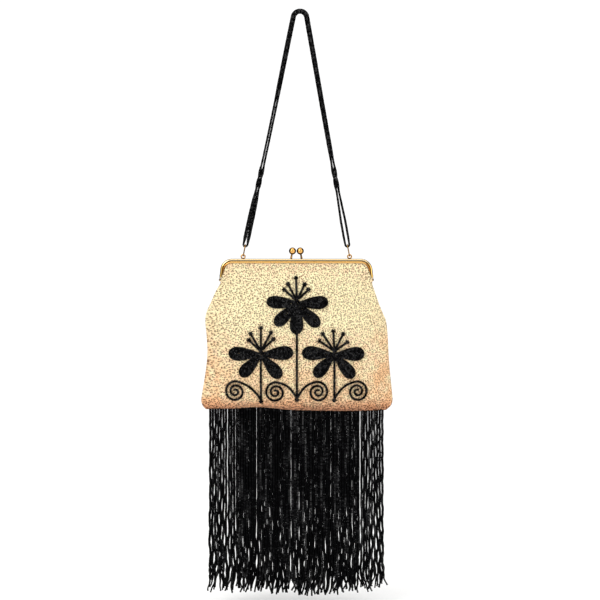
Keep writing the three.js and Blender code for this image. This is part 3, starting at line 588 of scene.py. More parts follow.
def panelWrinkles(x, z, face):  # slow rumples over the whole panel, puckers by the frame and the seams
    points = np.stack([x, np.full_like(x, 300.0 * face), z], axis=1)
    _, gap = edgeNear(x, z)
    near = {
        "gather": np.exp(-(((gap - bagForm["gatherAt"]) / bagForm["gatherReach"]) ** 2)),
        "seam": np.exp(-(halfWidth(z, x) - np.abs(x)) / bagForm["seamReach"]),
        "hem": np.exp(-(z - bottomAt(x)) / bagForm["seamReach"]),
    }
    total = 0
    for key, (high, wide, seed, drawn) in bagWrinkles.items():
        total = total + near.get(key, 1) * high * ripple(points * drawn, wide, seed)
    return total


def bagRing(down, layer, run):  # once round both panels at one row
    x, z = panelPlaces(run, down)
    flat = down is None or down == 0
    wall = bagForm["wall"]
    if layer == "inside":
        deeper = ease(-z, -bagForm["mouthEndZ"], -bagForm["seamInsetZ"])
        x = x * (1 - (wall + (bagForm["seamInset"] - wall) * deeper) / halfWidth(z, x))
    depth = np.full_like(x, bagForm["rimDepth"]) if flat else panelDepth(x, z)
    sides = []
    for face in (-1, 1):
        if layer == "inside":
            away = np.maximum(depth - wall - (0 if flat else bagForm["innerLess"]), bagForm["innerLeast"])
        else:
            calm = ease(depth, 1.0, 5.0) * ease(0 if flat else down, 0.0, 0.12)
            away = depth + panelWrinkles(x, z, face) * calm
        sides.append(np.stack([x + bagX, face * away, z], axis=1))
    front, back = sides
    return np.vstack([front, back[::-1], front[:1]])


def makeBag():
    run = np.linspace(-1, 1, bagForm["columns"]) * mouthEnd
    downs = 1 - (1 - np.linspace(0, 1, bagForm["outerRows"])) ** bagForm["outerPower"]
    inner = np.linspace(bagForm["innerFoot"], 0, bagForm["innerRows"])
    rings = [bagRing(down, "inside", run) for down in [*inner, None]]
    rings += [bagRing(down, "outside", run) for down in [None, *downs]]
    rings[0][:, 1] = 0  # the inside meets in a crease above the seam
    rings[-1][:, 1] = 0
    rows = np.array(rings)
    grid = {"x_subdivisions": rows.shape[1] - 1, "y_subdivisions": rows.shape[0] - 1, "size": 1}
    bag = startPiece("linenBag", linen, bpy.ops.mesh.primitive_grid_add, **grid)
    bag.data.vertices.foreach_set("co", (rows * mm).reshape(-1))
    closeSeams(0.00001)
    bpy.ops.object.shade_smooth()
    handOver(bag, "linen", "purse_body")
    return bag


linenBag = makeBag()
print("bag lofted:", len(linenBag.data.polygons), "faces")


# gilt clasp frame

halves = ((-1, "Front"), (1, "Back"))
claspForm = {
    "depth": 5.0, "split": 0.2, "wall": 0.9, "roof": 1.0, "crown": 1.8, "fillet": 0.4,
    # pairs of mm in from the edge and mm deep
    "groove": [(2.05, 0.03), (2.2, 0.55), (3.0, 0.55)],
    "backEdge": [(0.6, 0), (0.2, 0.15), (0, 0.6)],
    "lipStart": 1.9, "rollStart": 3.1, "rollDeep": 0.5,
    "barSteps": 3, "cornerSteps": 22, "legSteps": 4,
}


def channelOutline():  # pairs of (out from the edge, away from the middle plane)
    near, far = claspForm["split"], claspForm["split"] + claspForm["depth"]
    crown, wall, roof, lip = claspForm["crown"], claspForm["wall"], claspForm["roof"], frameForm["lip"]
    turn = np.radians(np.linspace(0, 90, 9))
    outer = [(crown * (math.sin(a) - 1), far + crown * (math.cos(a) - 1)) for a in turn]
    # a fine rolled groove parts the crown from the lip, which is rolled too
    groove = [(-inward, far - deep) for inward, deep in claspForm["groove"]]
    middle, reach = (-claspForm["rollStart"] - lip) / 2, (lip - claspForm["rollStart"]) / 2
    rolled = [(middle + reach * s, far - claspForm["rollDeep"] * s * s) for s in np.linspace(0.98, -0.98, 9)]
    fillet = claspForm["fillet"]
    inside = [(-lip, far - wall), (-roof - fillet, far - wall), (-roof, far - wall - fillet)]
    back = [(-roof, near + wall), (-lip, near + wall), (-lip, near)]
    rounded = [(-inward, near + deep) for inward, deep in claspForm["backEdge"]]
    return outer[::-1] + groove + rolled + inside + back + rounded


def outFromEdge(x, z):  # how far outside the frame's edge points lie, and the edge beside them
    nearest, _ = edgeNear(x, z)
    beside = {key: column[nearest] for key, column in edgeLine.items()}
    return (x - beside["x"]) * beside["nx"] + (z - beside["z"]) * beside["nz"], beside


def drawLips(piece):  # lips grow shorter round the corners and down the legs
    places = pointsOf(piece)
    x, z = places[:, 0] / mm, places[:, 2] / mm
    out, beside = outFromEdge(x, z)
    start = claspForm["lipStart"]
    drawn = -start + (out + start) * (beside["lip"] - start) / (frameForm["lip"] - start)
    move = np.where((x > frameForm["barHalf"] + 0.001) & (out < -start), drawn - out, 0) * mm
    places[:, 0] += move * beside["nx"]
    places[:, 2] += move * beside["nz"]
    piece.data.vertices.foreach_set("co", places.reshape(-1))
    piece.data.update()


def edgeMarks(piece):  # how far in from the frame's outer edge each point was before the lip was drawn in
    places = pointsOf(piece) / mm
    z = places[:, 2]
    out, beside = outFromEdge(np.abs(places[:, 0] - bagX), z)
    start = claspForm["lipStart"]
    drawn = start + (-out - start) * (frameForm["lip"] - start) / (beside["lip"] - start)
    # the outer rim gets a painted dark reflection line
    inward = np.where(-out > start, drawn, np.maximum(-out, darkeningMarks["rim"]))
    return np.where(z > frameForm["topZ"] + 0.4, darkeningMarks["eyelet"], inward)


def makeFrameHalf(name, half, node):
    outline = channelOutline()
    ring = {"vertices": len(outline), "radius": 0.01, "fill_type": "NGON", "location": (bagX * mm, 0, 0)}
    piece = startPiece(name, gilt, bpy.ops.mesh.primitive_circle_add, **ring)
    for vertex, (out, away) in zip(piece.data.vertices, outline):
        vertex.co = (0, half * away * mm, (frameForm["topZ"] + out) * mm)
    bar, radius, flare = frameForm["barHalf"] * mm, frameForm["cornerR"] * mm, frameForm["flare"]
    editMode()
    along = (bar / claspForm["barSteps"], 0, 0)
    for step in range(claspForm["barSteps"]):
        extrude(along)
    bpy.ops.mesh.spin(
        steps=claspForm["cornerSteps"],
        angle=flare - math.pi / 2,
        center=(bagX * mm + bar, 0, frameForm["topZ"] * mm - radius),
        axis=(0, 1, 0),
    )
    leg = (legEnd - legStart) * mm / claspForm["legSteps"]
    down = (math.sin(flare) * leg, 0, -math.cos(flare) * leg)
    for step in range(claspForm["legSteps"]):
        extrude(down)
    # the first face becomes the mirror plane
    selectFaces(piece, lambda face: abs(face.center.x) < 1e-6 and abs(face.normal.x) > 0.9)
    bpy.ops.mesh.delete(type="FACE")
    objectMode()
    drawLips(piece)
    applyModifier(piece, "MIRROR", use_clip=True, merge_threshold=0.00001)
    applyPlace()
    closeSeams(0.000002)
    extras = []
    for side in (-1, 1):
        extras.append(makeHingePlate(half, side))
        if half > 0:
            extras.append(makeEyelet(side))
    fuse(piece, extras)
    finishMetal(piece, 35, edgeMarks(piece), node)


earForm = {
    "z": -292.35, "frontIn": 0.4, "backIn": 1.6, "size": (0.8, 3.8, 4.1),
    "neck": 3.2, "neckY": 1.9, "neckLess": 0.36, "bevel": 0.15,
}


def makeHingePlate(half, side):  # overlapping ears at the ends of the legs
    x = bagX + side * (float(edgeLine["x"][-1]) - (earForm["frontIn"] if half < 0 else earForm["backIn"]))
    place = (x * mm, 0, earForm["z"] * mm)
    ear = startPiece("hingeEar", gilt, bpy.ops.mesh.primitive_cube_add, size=1, location=place)
    ear.scale = Vector(earForm["size"]) * mm
    applyPlace()
    selectFaces(ear, lambda face: face.normal.z > 0.9)
    extrude((0, 0, earForm["neck"] * mm))
    middle = Vector((x, half * earForm["neckY"], 0)) * mm
    bpy.ops.transform.resize(value=(1, earForm["neckLess"], 1), center_override=middle)
    objectMode()
    applyModifier(ear, "BEVEL", width=earForm["bevel"] * mm, segments=2)
    return ear


def makeRing(name, radius, wire, segments, **settings):
    settings.update(major_radius=radius * mm, minor_radius=wire * mm)
    settings.update(major_segments=segments, minor_segments=12)
    ring = startPiece(name, gilt, bpy.ops.mesh.primitive_torus_add, **settings)
    applyPlace()
    return ring


def makeRod(name, sides, radius, length, place, turn=(0, 0, 0)):
    size = {"vertices": sides, "radius": radius * mm, "depth": length}
    add = bpy.ops.mesh.primitive_cylinder_add
    rod = startPiece(name, gilt, add, location=place, rotation=turn, **size)
    applyPlace()
    return rod


eyeForm = {"x": 58.6, "y": 2.7, "rise": 2.5, "radius": 2.1, "wire": 0.75, "spread": 0.5}


def makeEyelet(side):  # wire eyes soldered upright on the bar
    place = Vector((bagX + side * eyeForm["x"], eyeForm["y"], frameForm["topZ"] + eyeForm["rise"])) * mm
    upright = (math.radians(90), 0, 0)
    eye = makeRing("strapEye", eyeForm["radius"], eyeForm["wire"], 32, location=place, rotation=upright)
    # a bead of solder spreads at its foot
    for vertex in eye.data.vertices:
        low = max(0.0, 1 - (vertex.co.z / mm - frameForm["topZ"]))
        vertex.co.y += (vertex.co.y - eyeForm["y"] * mm) * eyeForm["spread"] * low
    return eye


knobForm = {
    # mm from the middle of the bar, towards one end, off the middle plane and up
    "ball": (4.25, 0.3, 8.6), "foot": (5.8, 2.05, 0.3), "radius": 4.0,
    "postR": 1.2, "postTaper": 0.62,
    "collarR": 1.25, "collarTall": 0.8, "collarBevel": 0.2,
    "shankR": 0.5, "shankLong": 1.7, "shankDrop": 0.45,
    # where the painted dark reflection round each ball's outline sets in
    "outlineDarkFrom": (0.45, 0.85),  # shares of the ball's radius, out from the middle of its face
}


def makeKnob(name, half, node):
    radius, places = knobForm["radius"] * mm, (knobForm["ball"], knobForm["foot"])
    ball, foot = (Vector((bagX + half * x, half * y, frameForm["topZ"] + up)) * mm for x, y, up in places)
    sphere = {"segments": 36, "ring_count": 18, "radius": radius, "location": ball}
    knob = startPiece(name, gilt, bpy.ops.mesh.primitive_uv_sphere_add, **sphere)
    applyPlace()
    lean = ball - foot
    turn = lean.to_track_quat("Z", "Y").to_euler()
    post = makeRod("knobPost", 24, knobForm["postR"], lean.length, (ball + foot) / 2, turn)
    selectFaces(post, lambda face: face.normal.dot(lean.normalized()) > 0.9)
    bpy.ops.transform.resize(value=[knobForm["postTaper"]] * 3, center_override=ball)
    objectMode()
    tall, drop = Vector((0, 0, knobForm["collarTall"] * mm)), Vector((0, 0, knobForm["shankDrop"] * mm))
    collar = makeRod("knobCollar", 24, knobForm["collarR"], knobForm["collarTall"] * mm, foot + tall / 2)
    applyModifier(collar, "BEVEL", width=knobForm["collarBevel"] * mm, segments=3)
    shank = makeRod("knobShank", 16, knobForm["shankR"], knobForm["shankLong"] * mm, foot - drop)
    fuse(knob, [post, collar, shank])
    # painted dark reflection round the outline of the ball as seen from the front and back, and a darker
    # post
    away = (pointsOf(knob) - np.array(ball)) / radius
    ballFaceMark, ballOutlineMark = darkeningMarks["ball"]
    marks = ballFaceMark + (ballOutlineMark - ballFaceMark) * ease(np.hypot(away[:, 0], away[:, 2]), *knobForm["outlineDarkFrom"])
    onBall = np.linalg.norm(away, axis=1) < 1.01
    finishMetal(knob, 40, np.where(onBall, marks, darkeningMarks["post"]), node)


rivetForm = {"pinR": 0.7, "heads": 1.6, "steps": [(0.0, 1.3 / 0.7), (0.25, 1.0), (0.2, 0.6)]}


def makeRivet(name, node):
    low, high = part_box(node)
    middle = (Vector(low) + Vector(high)) / 2
    long = high[0] - low[0] - rivetForm["heads"] * mm
    rivet = makeRod(name, 20, rivetForm["pinR"], long, middle, (0, math.radians(90), 0))
    for end in (-1, 1):
        selectFaces(rivet, lambda face: face.normal.x * end > 0.9 and (face.center.x - middle.x) * end > 0)
        for push, grow in rivetForm["steps"]:
            extrude((end * push * mm, 0, 0))
            bpy.ops.transform.resize(value=(1, grow, grow), center_override=middle)
    finishMetal(rivet, 50, darkeningMarks["rivet"], node)


linkForm = {"lean": math.radians(11), "length": 13.0, "width": 6.3, "wire": 0.6, "play": 0.3}


def linkEnd(side, share):
    inEye = eyeForm["rise"] + eyeForm["radius"] - eyeForm["wire"]
    lowest = frameForm["topZ"] + inEye - linkForm["wire"] - linkForm["play"]
    along = share * linkForm["length"]
    x = side * (eyeForm["x"] - along * math.sin(linkForm["lean"]))
    return np.array([x, eyeForm["y"], lowest + along * math.cos(linkForm["lean"])])


def makeLink(name, side, node):
    middle = Vector(linkEnd(side, 0.5) + np.array([bagX, 0, 0])) * mm
    link = makeRing(name, linkForm["width"] / 2, linkForm["wire"], 40, rotation=(0, math.radians(90), 0))
    # the ring is drawn out into an oval link
    stretch = (linkForm["length"] - linkForm["width"]) / 2 * mm
    for vertex in link.data.vertices:
        if abs(vertex.co.z) > 1e-7:
            vertex.co.z += math.copysign(stretch, vertex.co.z)
    editMode()
    bpy.ops.transform.rotate(value=side * linkForm["lean"], orient_axis="Y", center_override=(0, 0, 0))
    bpy.ops.transform.translate(value=middle)
    finishMetal(link, 60, darkeningMarks["link"], node)


for half, word in halves:
    makeFrameHalf("claspFrame" + word, half, "frame_" + word.lower())
for half, word in halves:
    makeKnob("claspKnob" + word, half, "clasp_knob_" + word.lower())
for side, word in ((-1, "Left"), (1, "Right")):
    makeRivet("hingeRivet" + word, "hinge_rivet_" + word.lower())
    makeLink("strapLink" + word, side, "strap_link_" + word.lower())
print("clasp frame, knobs and links done")


# seed beads: one bead is turned, then strung by the thousand into joined meshes

beadSpread = (0.93, 1.05)  # no two beads are of quite the same size


def turnBead(sides, shoulder):
    deselectAll()
    bpy.ops.mesh.primitive_cylinder_add(vertices=sides, radius=1, depth=1)
    bead = bpy.context.object
    editMode()
    bpy.ops.mesh.bisect(plane_co=(0, 0, 0), plane_no=(0, 0, 1))
    selectFaces(bead, lambda face: abs(face.normal.z) > 0.9)
    bpy.ops.transform.resize(value=(shoulder, shoulder, 1))
    objectMode()
    corners = pointsOf(bead)
    faces = [list(face.vertices) for face in bead.data.polygons]
    bpy.data.objects.remove(bead, do_unlink=True)
    return corners, faces


fineBead, handleBead, smallBead = turnBead(10, 0.76), turnBead(10, 0.86), turnBead(6, 0.95)


def unit(rows):
    return rows / np.linalg.norm(rows, axis=1)[:, None]


# places, radii and long are in mm, ways are the directions of the holes
def stringBeads(name, bead, places, ways, radii, long, seed, turned=(0, 2 * math.pi), polish=None):
    corners, faces = bead
    rng = np.random.default_rng(seed)
    count = len(places)
    ways = unit(ways)
    helper = np.where(np.abs(ways[:, [1]]) < 0.9, [[0.0, 1.0, 0.0]], [[1.0, 0.0, 0.0]])
    u = unit(np.cross(helper, ways))
    v = np.cross(ways, u)
    spin = rng.uniform(*turned, count)[:, None]
    u, v = u * np.cos(spin) + v * np.sin(spin), v * np.cos(spin) - u * np.sin(spin)
    axes = np.stack([u * radii[:, None], v * radii[:, None], ways * long], axis=1)
    points = places[:, None, :] + np.einsum("kc,ncd->nkd", corners, axes)
    loops = np.concatenate([np.array(face) for face in faces])
    starts = np.cumsum([0] + [len(face) for face in faces[:-1]])
    each = np.arange(count)[:, None]
    mesh = bpy.data.meshes.new(name)
    mesh.vertices.add(count * len(corners))
    mesh.vertices.foreach_set("co", (points * mm).reshape(-1))
    mesh.loops.add(count * len(loops))
    mesh.loops.foreach_set("vertex_index", (each * len(corners) + loops).reshape(-1))
    mesh.polygons.add(count * len(faces))
    mesh.polygons.foreach_set("loop_start", (each * len(loops) + starts).reshape(-1))
    mesh.update(calc_edges=True)
    mesh.validate()
    mesh.polygons.foreach_set("use_smooth", np.ones(len(mesh.polygons), bool))
    polish = rng.uniform(0, 1, count) if polish is None else polish
    tone = mesh.attributes.new("beadTone", "FLOAT", "POINT")
    tone.data.foreach_set("value", np.repeat(polish, len(corners)).astype(np.float32))
    mesh.materials.append(jet)
    piece = bpy.data.objects.new(name, mesh)
    scene.collection.objects.link(piece)
    return piece


def farAlong(path):
    return np.concatenate([[0], np.cumsum(np.linalg.norm(np.diff(path, axis=0), axis=1))])


def pickAlong(path, far, at):
    return np.stack([np.interp(at, far, column) for column in path.T], axis=1)


def alongPath(path, pitch, closed=False):  # evenly spaced places and ways on a line of points
    path = np.asarray(path, float)
    if closed:
        path = np.vstack([path, path[:1]])
    far = farAlong(path)
    count = max(int(round(far[-1] / pitch)), 1)
    stops = (np.arange(count) + 0.5) * far[-1] / count
    after, before = np.minimum(stops + pitch / 4, far[-1]), np.maximum(stops - pitch / 4, 0)
    return pickAlong(path, far, stops), pickAlong(path, far, after) - pickAlong(path, far, before)


# bead-string handle

handleForm = {
    "bead": 1.22, "long": 1.5, "pitch": 1.5,
    "turnR": 2.2, "beside": 1.2, "bowLeft": 0.8, "bowRight": 0.3,
    "bendTop": 1.1 + math.sqrt(2) * 1.3, "bendR": 7.4, "bendSpan": 0.024,
    "crossLeft": (0.11, 0.17), "crossRight": (0.83, 0.89),
    "steps": 520, "near": 0.002,
}
# from link to link: half the way between a loop's runs, half the way between the loops,
# their slide into a flat band, and the roll in degrees
layColumns = ("share", "apart", "beside", "slide", "roll")
layRows = [
    (0, 2.2, 1.2, 0, 0),
    (0.015, 2, 0.85, 0.85, 0),
    (0.06, 1.9, 0.8, 0.95, 0),
    (0.09, 1.75, 0.9, 0.75, 0),
    (0.115, 1.3, 1.2, 0.15, 0),
    (0.125, 1.6, 1.3, 0, 0),
    (0.14, 1.45, 1.3, 0, 0),
    (0.155, 1.6, 1.3, 0, 0),
    (0.175, 1.28, 1.2, 0, 0),
    (0.3, 1.29, 1.2, 0, 4),
    (0.35, 1.25, 1.2, 0, 38),
    (0.42, 1.3, 1.3, 0, 45),
    (0.6, 1.3, 1.3, 0, 45),
    (0.78, 1.2, 1.2, 0, 40),
    (0.825, 1.25, 1.2, 0, 0),
    (0.845, 1.6, 1.3, 0, 0),
    (0.86, 1.45, 1.3, 0, 0),
    (0.875, 1.6, 1.3, 0, 0),
    (0.89, 1.3, 1.2, 0, 0),
    (0.915, 1.7, 1.2, 0.2, 0),
    (0.95, 2.4, 1.2, 0.25, 0),
    (0.985, 2.4, 1.2, 0.25, 0),
    (1, 2.2, 1.2, 0, 0),
]
handleLay = dict(zip(layColumns, zip(*layRows)))


def handleMiddle(share):  # up from the left link, over the bend and down to the right link
    span, bendR = handleForm["bendSpan"], handleForm["bendR"]
    centre = np.array([-bagX, 0, handleForm["bendTop"] - bendR])
    angles = []
    for side in (-1, 1):
        dx, _, dz = linkEnd(side, 1) - centre
        angles.append(math.atan2(dz, dx) + side * math.acos(bendR / math.hypot(dx, dz)))
    angles[0] += 2 * math.pi

    def onBend(angle):
        return centre + bendR * np.array([math.cos(angle), 0, math.sin(angle)])

    if abs(share - 0.5) <= span:
        return onBend(angles[0] + (angles[1] - angles[0]) * (share - 0.5 + span) / (2 * span))
    left = share < 0.5
    side, angle = (-1, angles[0]) if left else (1, angles[1])
    bow = handleForm["bowLeft"] if left else -handleForm["bowRight"]
    climb = (share if left else 1 - share) / (0.5 - span)
    point = linkEnd(side, 1) * (1 - climb) + onBend(angle) * climb
    point[0] += bow * math.sin(math.pi * climb) ** 2
    return point


def handleRun(shares, run, loop):
    rows, near = [], handleForm["near"]
    for share in shares:
        ahead = handleMiddle(min(share + near, 1)) - handleMiddle(max(share - near, 0))
        ahead /= np.linalg.norm(ahead)
        outward = np.array([-ahead[2], 0, ahead[0]])
        lay = {key: float(np.interp(share, handleLay["share"], handleLay[key])) for key in layColumns}
        crossed = float(ease(share, *handleForm["crossLeft"]) - ease(share, *handleForm["crossRight"]))
        turn = math.pi * crossed + math.radians(lay["roll"])
        across, deep = run * lay["apart"] + loop * lay["slide"], loop * lay["beside"]
        rows.append(
            handleMiddle(share)
            + outward * (across * math.cos(turn) - deep * math.sin(turn))
            + np.array([0, 1, 0]) * (across * math.sin(turn) + deep * math.cos(turn))
        )
    return rows


def makeStrapLoop(name, loop, node):
    shares = np.linspace(0, 1, handleForm["steps"])
    path = handleRun(shares, 1, loop)
    for side in (1, -1):
        centre, up = linkEnd(side, 1), linkEnd(side, 1) - linkEnd(side, 0)
        up = handleForm["turnR"] * up / np.linalg.norm(up)
        across = np.array([up[2], 0, -up[0]]) * side
        centre[1] += loop * handleForm["beside"]
        turns = np.linspace(0.08, 0.92, 12)[::side] * math.pi
        path += [centre + across * math.cos(a) - up * math.sin(a) for a in turns]
        if side > 0:
            path += handleRun(shares[::-1], -1, loop)
    places, ways = alongPath(np.array(path) + [bagX, 0, 0], handleForm["pitch"], closed=True)
    rng = np.random.default_rng(31 + loop)
    radii = handleForm["bead"] * rng.uniform(*beadSpread, len(places))
    piece = stringBeads(name, handleBead, places, ways, radii, handleForm["long"], 40 + loop)
    handOver(piece, "jet_beads", node)
    return len(places)


strung = [makeStrapLoop("strapLoop" + word, half, "strap_loop_" + word.lower()) for half, word in halves]
print("handle strung:", sum(strung), "beads")


# bead flowers sewn on the front panel

flowerForm = {
    "bead": 1.1, "line": 1.46, "long": 1.42, "pitch": 1.42,
    "row": 1.72, "rowStarts": (0, 0.5, 0.25, 0.75, 0.12, 0.62, 0.37, 0.87), "edgeIn": 0.95,
    "slack": 0.12, "fewest": 12,
    "widest": 0.72, "petalPower": 1.4, "spine": (0.1, 0.9),
    "knotR": 1.4, "knotIn": 1.9, "heartRings": (0.6, 2, 3.4),
    "stamenRise": 3.4, "stalkDrop": 3, "curlRise": 1.2,
}
spiral = {
    "turn": [75, 130, 180, 270, 360, 450, 540, 630, 720, 790, 840],
    "r": [11.2, 10, 9.3, 9.1, 8.7, 6.4, 4.3, 4.1, 3.8, 2.2, 1.5],
}
# fill, lines and caps: size of bead, how far it stands off the cloth in radii, mm that it keeps clear
flowerLayers = [("bead", 0.95, 1.08), ("line", 0.9, 1.0), ("line", 1.6, 0.5)]
curlForm = {"leaves": (7.3, 11.9), "arrives": 12, "steps": 240}
# petals: degrees from +X, mm from the heart, half width, its share at the heart; stamens: the first two
flowers = {
    "Left": {
        "heart": (-38.6, -374.4),
        "footZ": -425.2,
        "petals": [
            (178, 35.6, 7.8, 0.28),
            (4, 35.6, 7.8, 0.26),
            (226.5, 32.6, 7.1, 0.26),
            (311, 33.4, 7.1, 0.26),
        ],
        "stamens": [(130, 22.4), (116, 27.2), (90, 30.8), (65.5, 28.6), (51, 23.8)],
        "curls": [(-67.3, -414.5)],
    },
    "Centre": {
        "heart": (0.6, -319.3),
        "footZ": -423.2,
        "petals": [
            (175, 33.4, 7.0, 0.5),
            (3.8, 34.5, 7.3, 0.32),
            (224, 33.2, 7.1, 0.3),
            (315, 34.6, 7.1, 0.3),
            (269, 33.2, 7.6, 0.4),
        ],
        "stamens": [(132, 22.7), (114.5, 25.7), (92, 30.1), (68.5, 25), (51, 22)],
        "curls": [(-23.4, -415.2), (24.2, -414.8)],
    },
    "Right": {
        "heart": (41.4, -374.3),
        "footZ": -423.8,
        "petals": [
            (176.5, 35.6, 7.8, 0.26),
            (1.5, 33.1, 7.8, 0.26),
            (228, 32.4, 7.1, 0.28),
            (310, 33.2, 7.1, 0.3),
        ],
        "stamens": [(137.5, 23.6), (119.5, 27.7), (92.5, 27.1), (67, 26.2), (44, 21.2)],
        "curls": [(67.3, -414.6)],
    },
}


def pointing(turn, reach):
    return np.array([math.cos(math.radians(turn)), math.sin(math.radians(turn))]) * reach


def petalOutline(heart, turn, reach, half, base):
    widest = flowerForm["widest"]
    rounding = np.sin(np.linspace(0.03, 1, 40) * math.pi / 2)
    v = np.concatenate([np.linspace(0, widest, 40), widest + (1 - widest) * rounding])
    swell = np.sin(0.5 * math.pi * np.minimum(v / widest, 1)) ** flowerForm["petalPower"]
    closing = np.sqrt(np.maximum(1 - (np.maximum(v - widest, 0) / (1 - widest)) ** 2, 0))
    wide = half * (base + (1 - base) * swell) * closing
    spine, aside = np.outer(v * reach, pointing(turn, 1)), np.outer(wide, pointing(turn + 90, 1))
    outline = np.vstack([heart + spine - aside, (heart + spine + aside)[::-1]])
    outline = np.vstack([outline, outline[:1]])
    far = farAlong(outline)
    return pickAlong(outline, far, np.linspace(0, far[-1], 420, endpoint=False))


def petalRows(heart, turn, reach, half, base):  # rows of beads that follow the petal's outline inwards
    loop = petalOutline(heart, turn, reach, half, base)
    tangent = unit(np.roll(loop, -1, axis=0) - np.roll(loop, 1, axis=0))
    inward = np.stack([-tangent[:, 1], tangent[:, 0]], axis=1)
    pitch, row = flowerForm["pitch"], flowerForm["row"]
    rows = []
    # whole rows first, then rows between them, of which only what finds room is kept
    for start in flowerForm["rowStarts"]:
        for inset in np.arange(flowerForm["edgeIn"] * flowerForm["bead"] + start * row, half, row):
            moved = loop + inward * inset
            clear = np.hypot(*(np.subtract.outer(moved[:, k], loop[:, k]) for k in (0, 1))).min(axis=1)
            kept = moved[clear > inset - flowerForm["slack"]]
            if len(kept) > flowerForm["fewest"]:
                rows.append(alongPath(kept, pitch, closed=True))
    spine = np.outer(np.array(flowerForm["spine"]) * reach, pointing(turn, 1))
    rows.append(alongPath(heart + spine, pitch))
    return rows


def knotRows(middle):  # a tight knot of beads, a ring and one on top
    around = np.array([middle + pointing(a, flowerForm["knotR"]) for a in range(0, 360, 60)])
    ways = np.array([pointing(a + 90, 1) for a in range(0, 360, 60)])
    return (around, ways), (np.array([middle]), np.array([[1.0, 0.0]]))


def curlRow(foot, centre):  # a scroll rises from the foot of a stalk and rolls up
    side = math.copysign(1, centre[0] - foot[0])
    turns = np.linspace(spiral["turn"][0], spiral["turn"][-1], curlForm["steps"])
    r = readTable(spiral, "turn", "r", turns)
    across, up = side * r * np.cos(np.radians(turns)), r * np.sin(np.radians(turns))
    ring = np.stack([centre[0] - across, centre[1] + up], axis=1)
    slope = math.radians(spiral["turn"][0])
    first, last = np.array(foot), ring[0]
    early = first + [side * curlForm["leaves"][0], curlForm["leaves"][1]]
    late = last + np.array([-side * math.sin(slope), -math.cos(slope)]) * curlForm["arrives"]
    t = np.linspace(0, 1, 40)[:, None]
    rise = first * (1 - t) ** 3 + 3 * early * t * (1 - t) ** 2 + 3 * late * t**2 * (1 - t) + last * t**3
    return alongPath(np.vstack([rise, ring[1:]]), flowerForm["pitch"])


clothTree = BVHTree.FromObject(linenBag, bpy.context.evaluated_depsgraph_get())


def sewOn(rows, lift):  # beads laid on the cloth: where they sit, and their holes' ways along it
    flat = np.vstack([row[0] for row in rows])
    aims = np.vstack([row[1] for row in rows])
    places, ways = [], []
    for (x, z), (ax, az) in zip(flat, aims):
        before = Vector(((x + bagX) * mm, -0.2, z * mm))
        spot, normal, _, _ = clothTree.ray_cast(before, Vector((0, 1, 0)))
        normal = np.array(normal)
        way = np.array([ax, 0, az])
        places.append(np.array(spot) / mm + normal * lift)
        ways.append(way - normal * way.dot(normal))
    return np.array(places), np.array(ways)


def withRoom(places, least, cell=2):  # leaves off beads that would fall on top of earlier ones
    kept, taken = [], {}
    for i, (x, _, z) in enumerate(places):
        column, row = int(x // cell), int(z // cell)
        around = [(column + dx, row + dz) for dx in (-1, 0, 1) for dz in (-1, 0, 1)]
        near = [k for spot in around for k in taken.get(spot, [])]
        if all(math.hypot(x - places[k][0], z - places[k][2]) > least for k in near):
            kept.append(i)
            taken.setdefault((column, row), []).append(i)
    return kept


def makeFlower(word, seed):
    flower = flowers[word]
    pitch = flowerForm["pitch"]
    heart = np.array(flower["heart"])
    foot = np.array([heart[0], flower["footZ"]])
    fill, lines, caps = [], [], []

    def addLine(start, end):  # a line of beads that ends in a knot
        knot, cap = knotRows(end)
        lines.extend([alongPath([start, end], pitch), knot])
        caps.append(cap)

    for petal in flower["petals"]:
        fill += petalRows(heart, *petal)
    for r in flowerForm["heartRings"]:  # where the petals meet
        fill.append(alongPath([heart + pointing(a, r) for a in range(0, 360, 20)], pitch, closed=True))
    for turn, reach in flower["stamens"]:
        addLine(heart + [0, flowerForm["stamenRise"]], heart + pointing(turn, reach - flowerForm["knotIn"]))
    addLine(heart - [0, flowerForm["stalkDrop"]], foot)
    lines += [curlRow(foot + [0, flowerForm["curlRise"]], centre) for centre in flower["curls"]]
    rng = np.random.default_rng(seed)
    layers = []
    for rows, (size, lift, least) in zip((fill, lines, caps), flowerLayers):
        places, ways = sewOn(rows, flowerForm[size] * lift)
        kept = withRoom(places, least)
        radii = flowerForm[size] * rng.uniform(*beadSpread, len(kept))
        layers.append((places[kept], ways[kept] + rng.normal(0, 0.05, (len(kept), 3)), radii))
    places, ways, radii = (np.concatenate(column) for column in zip(*layers))
    piece = stringBeads("flower" + word, fineBead, places, ways, radii, flowerForm["long"], seed)
    handOver(piece, "jet_beads", "flower_" + word.lower())
    return len(places)


print("flowers sewn:", sum(makeFlower(word, 60 + i) for i, word in enumerate(flowers)), "beads")


# bead fringe

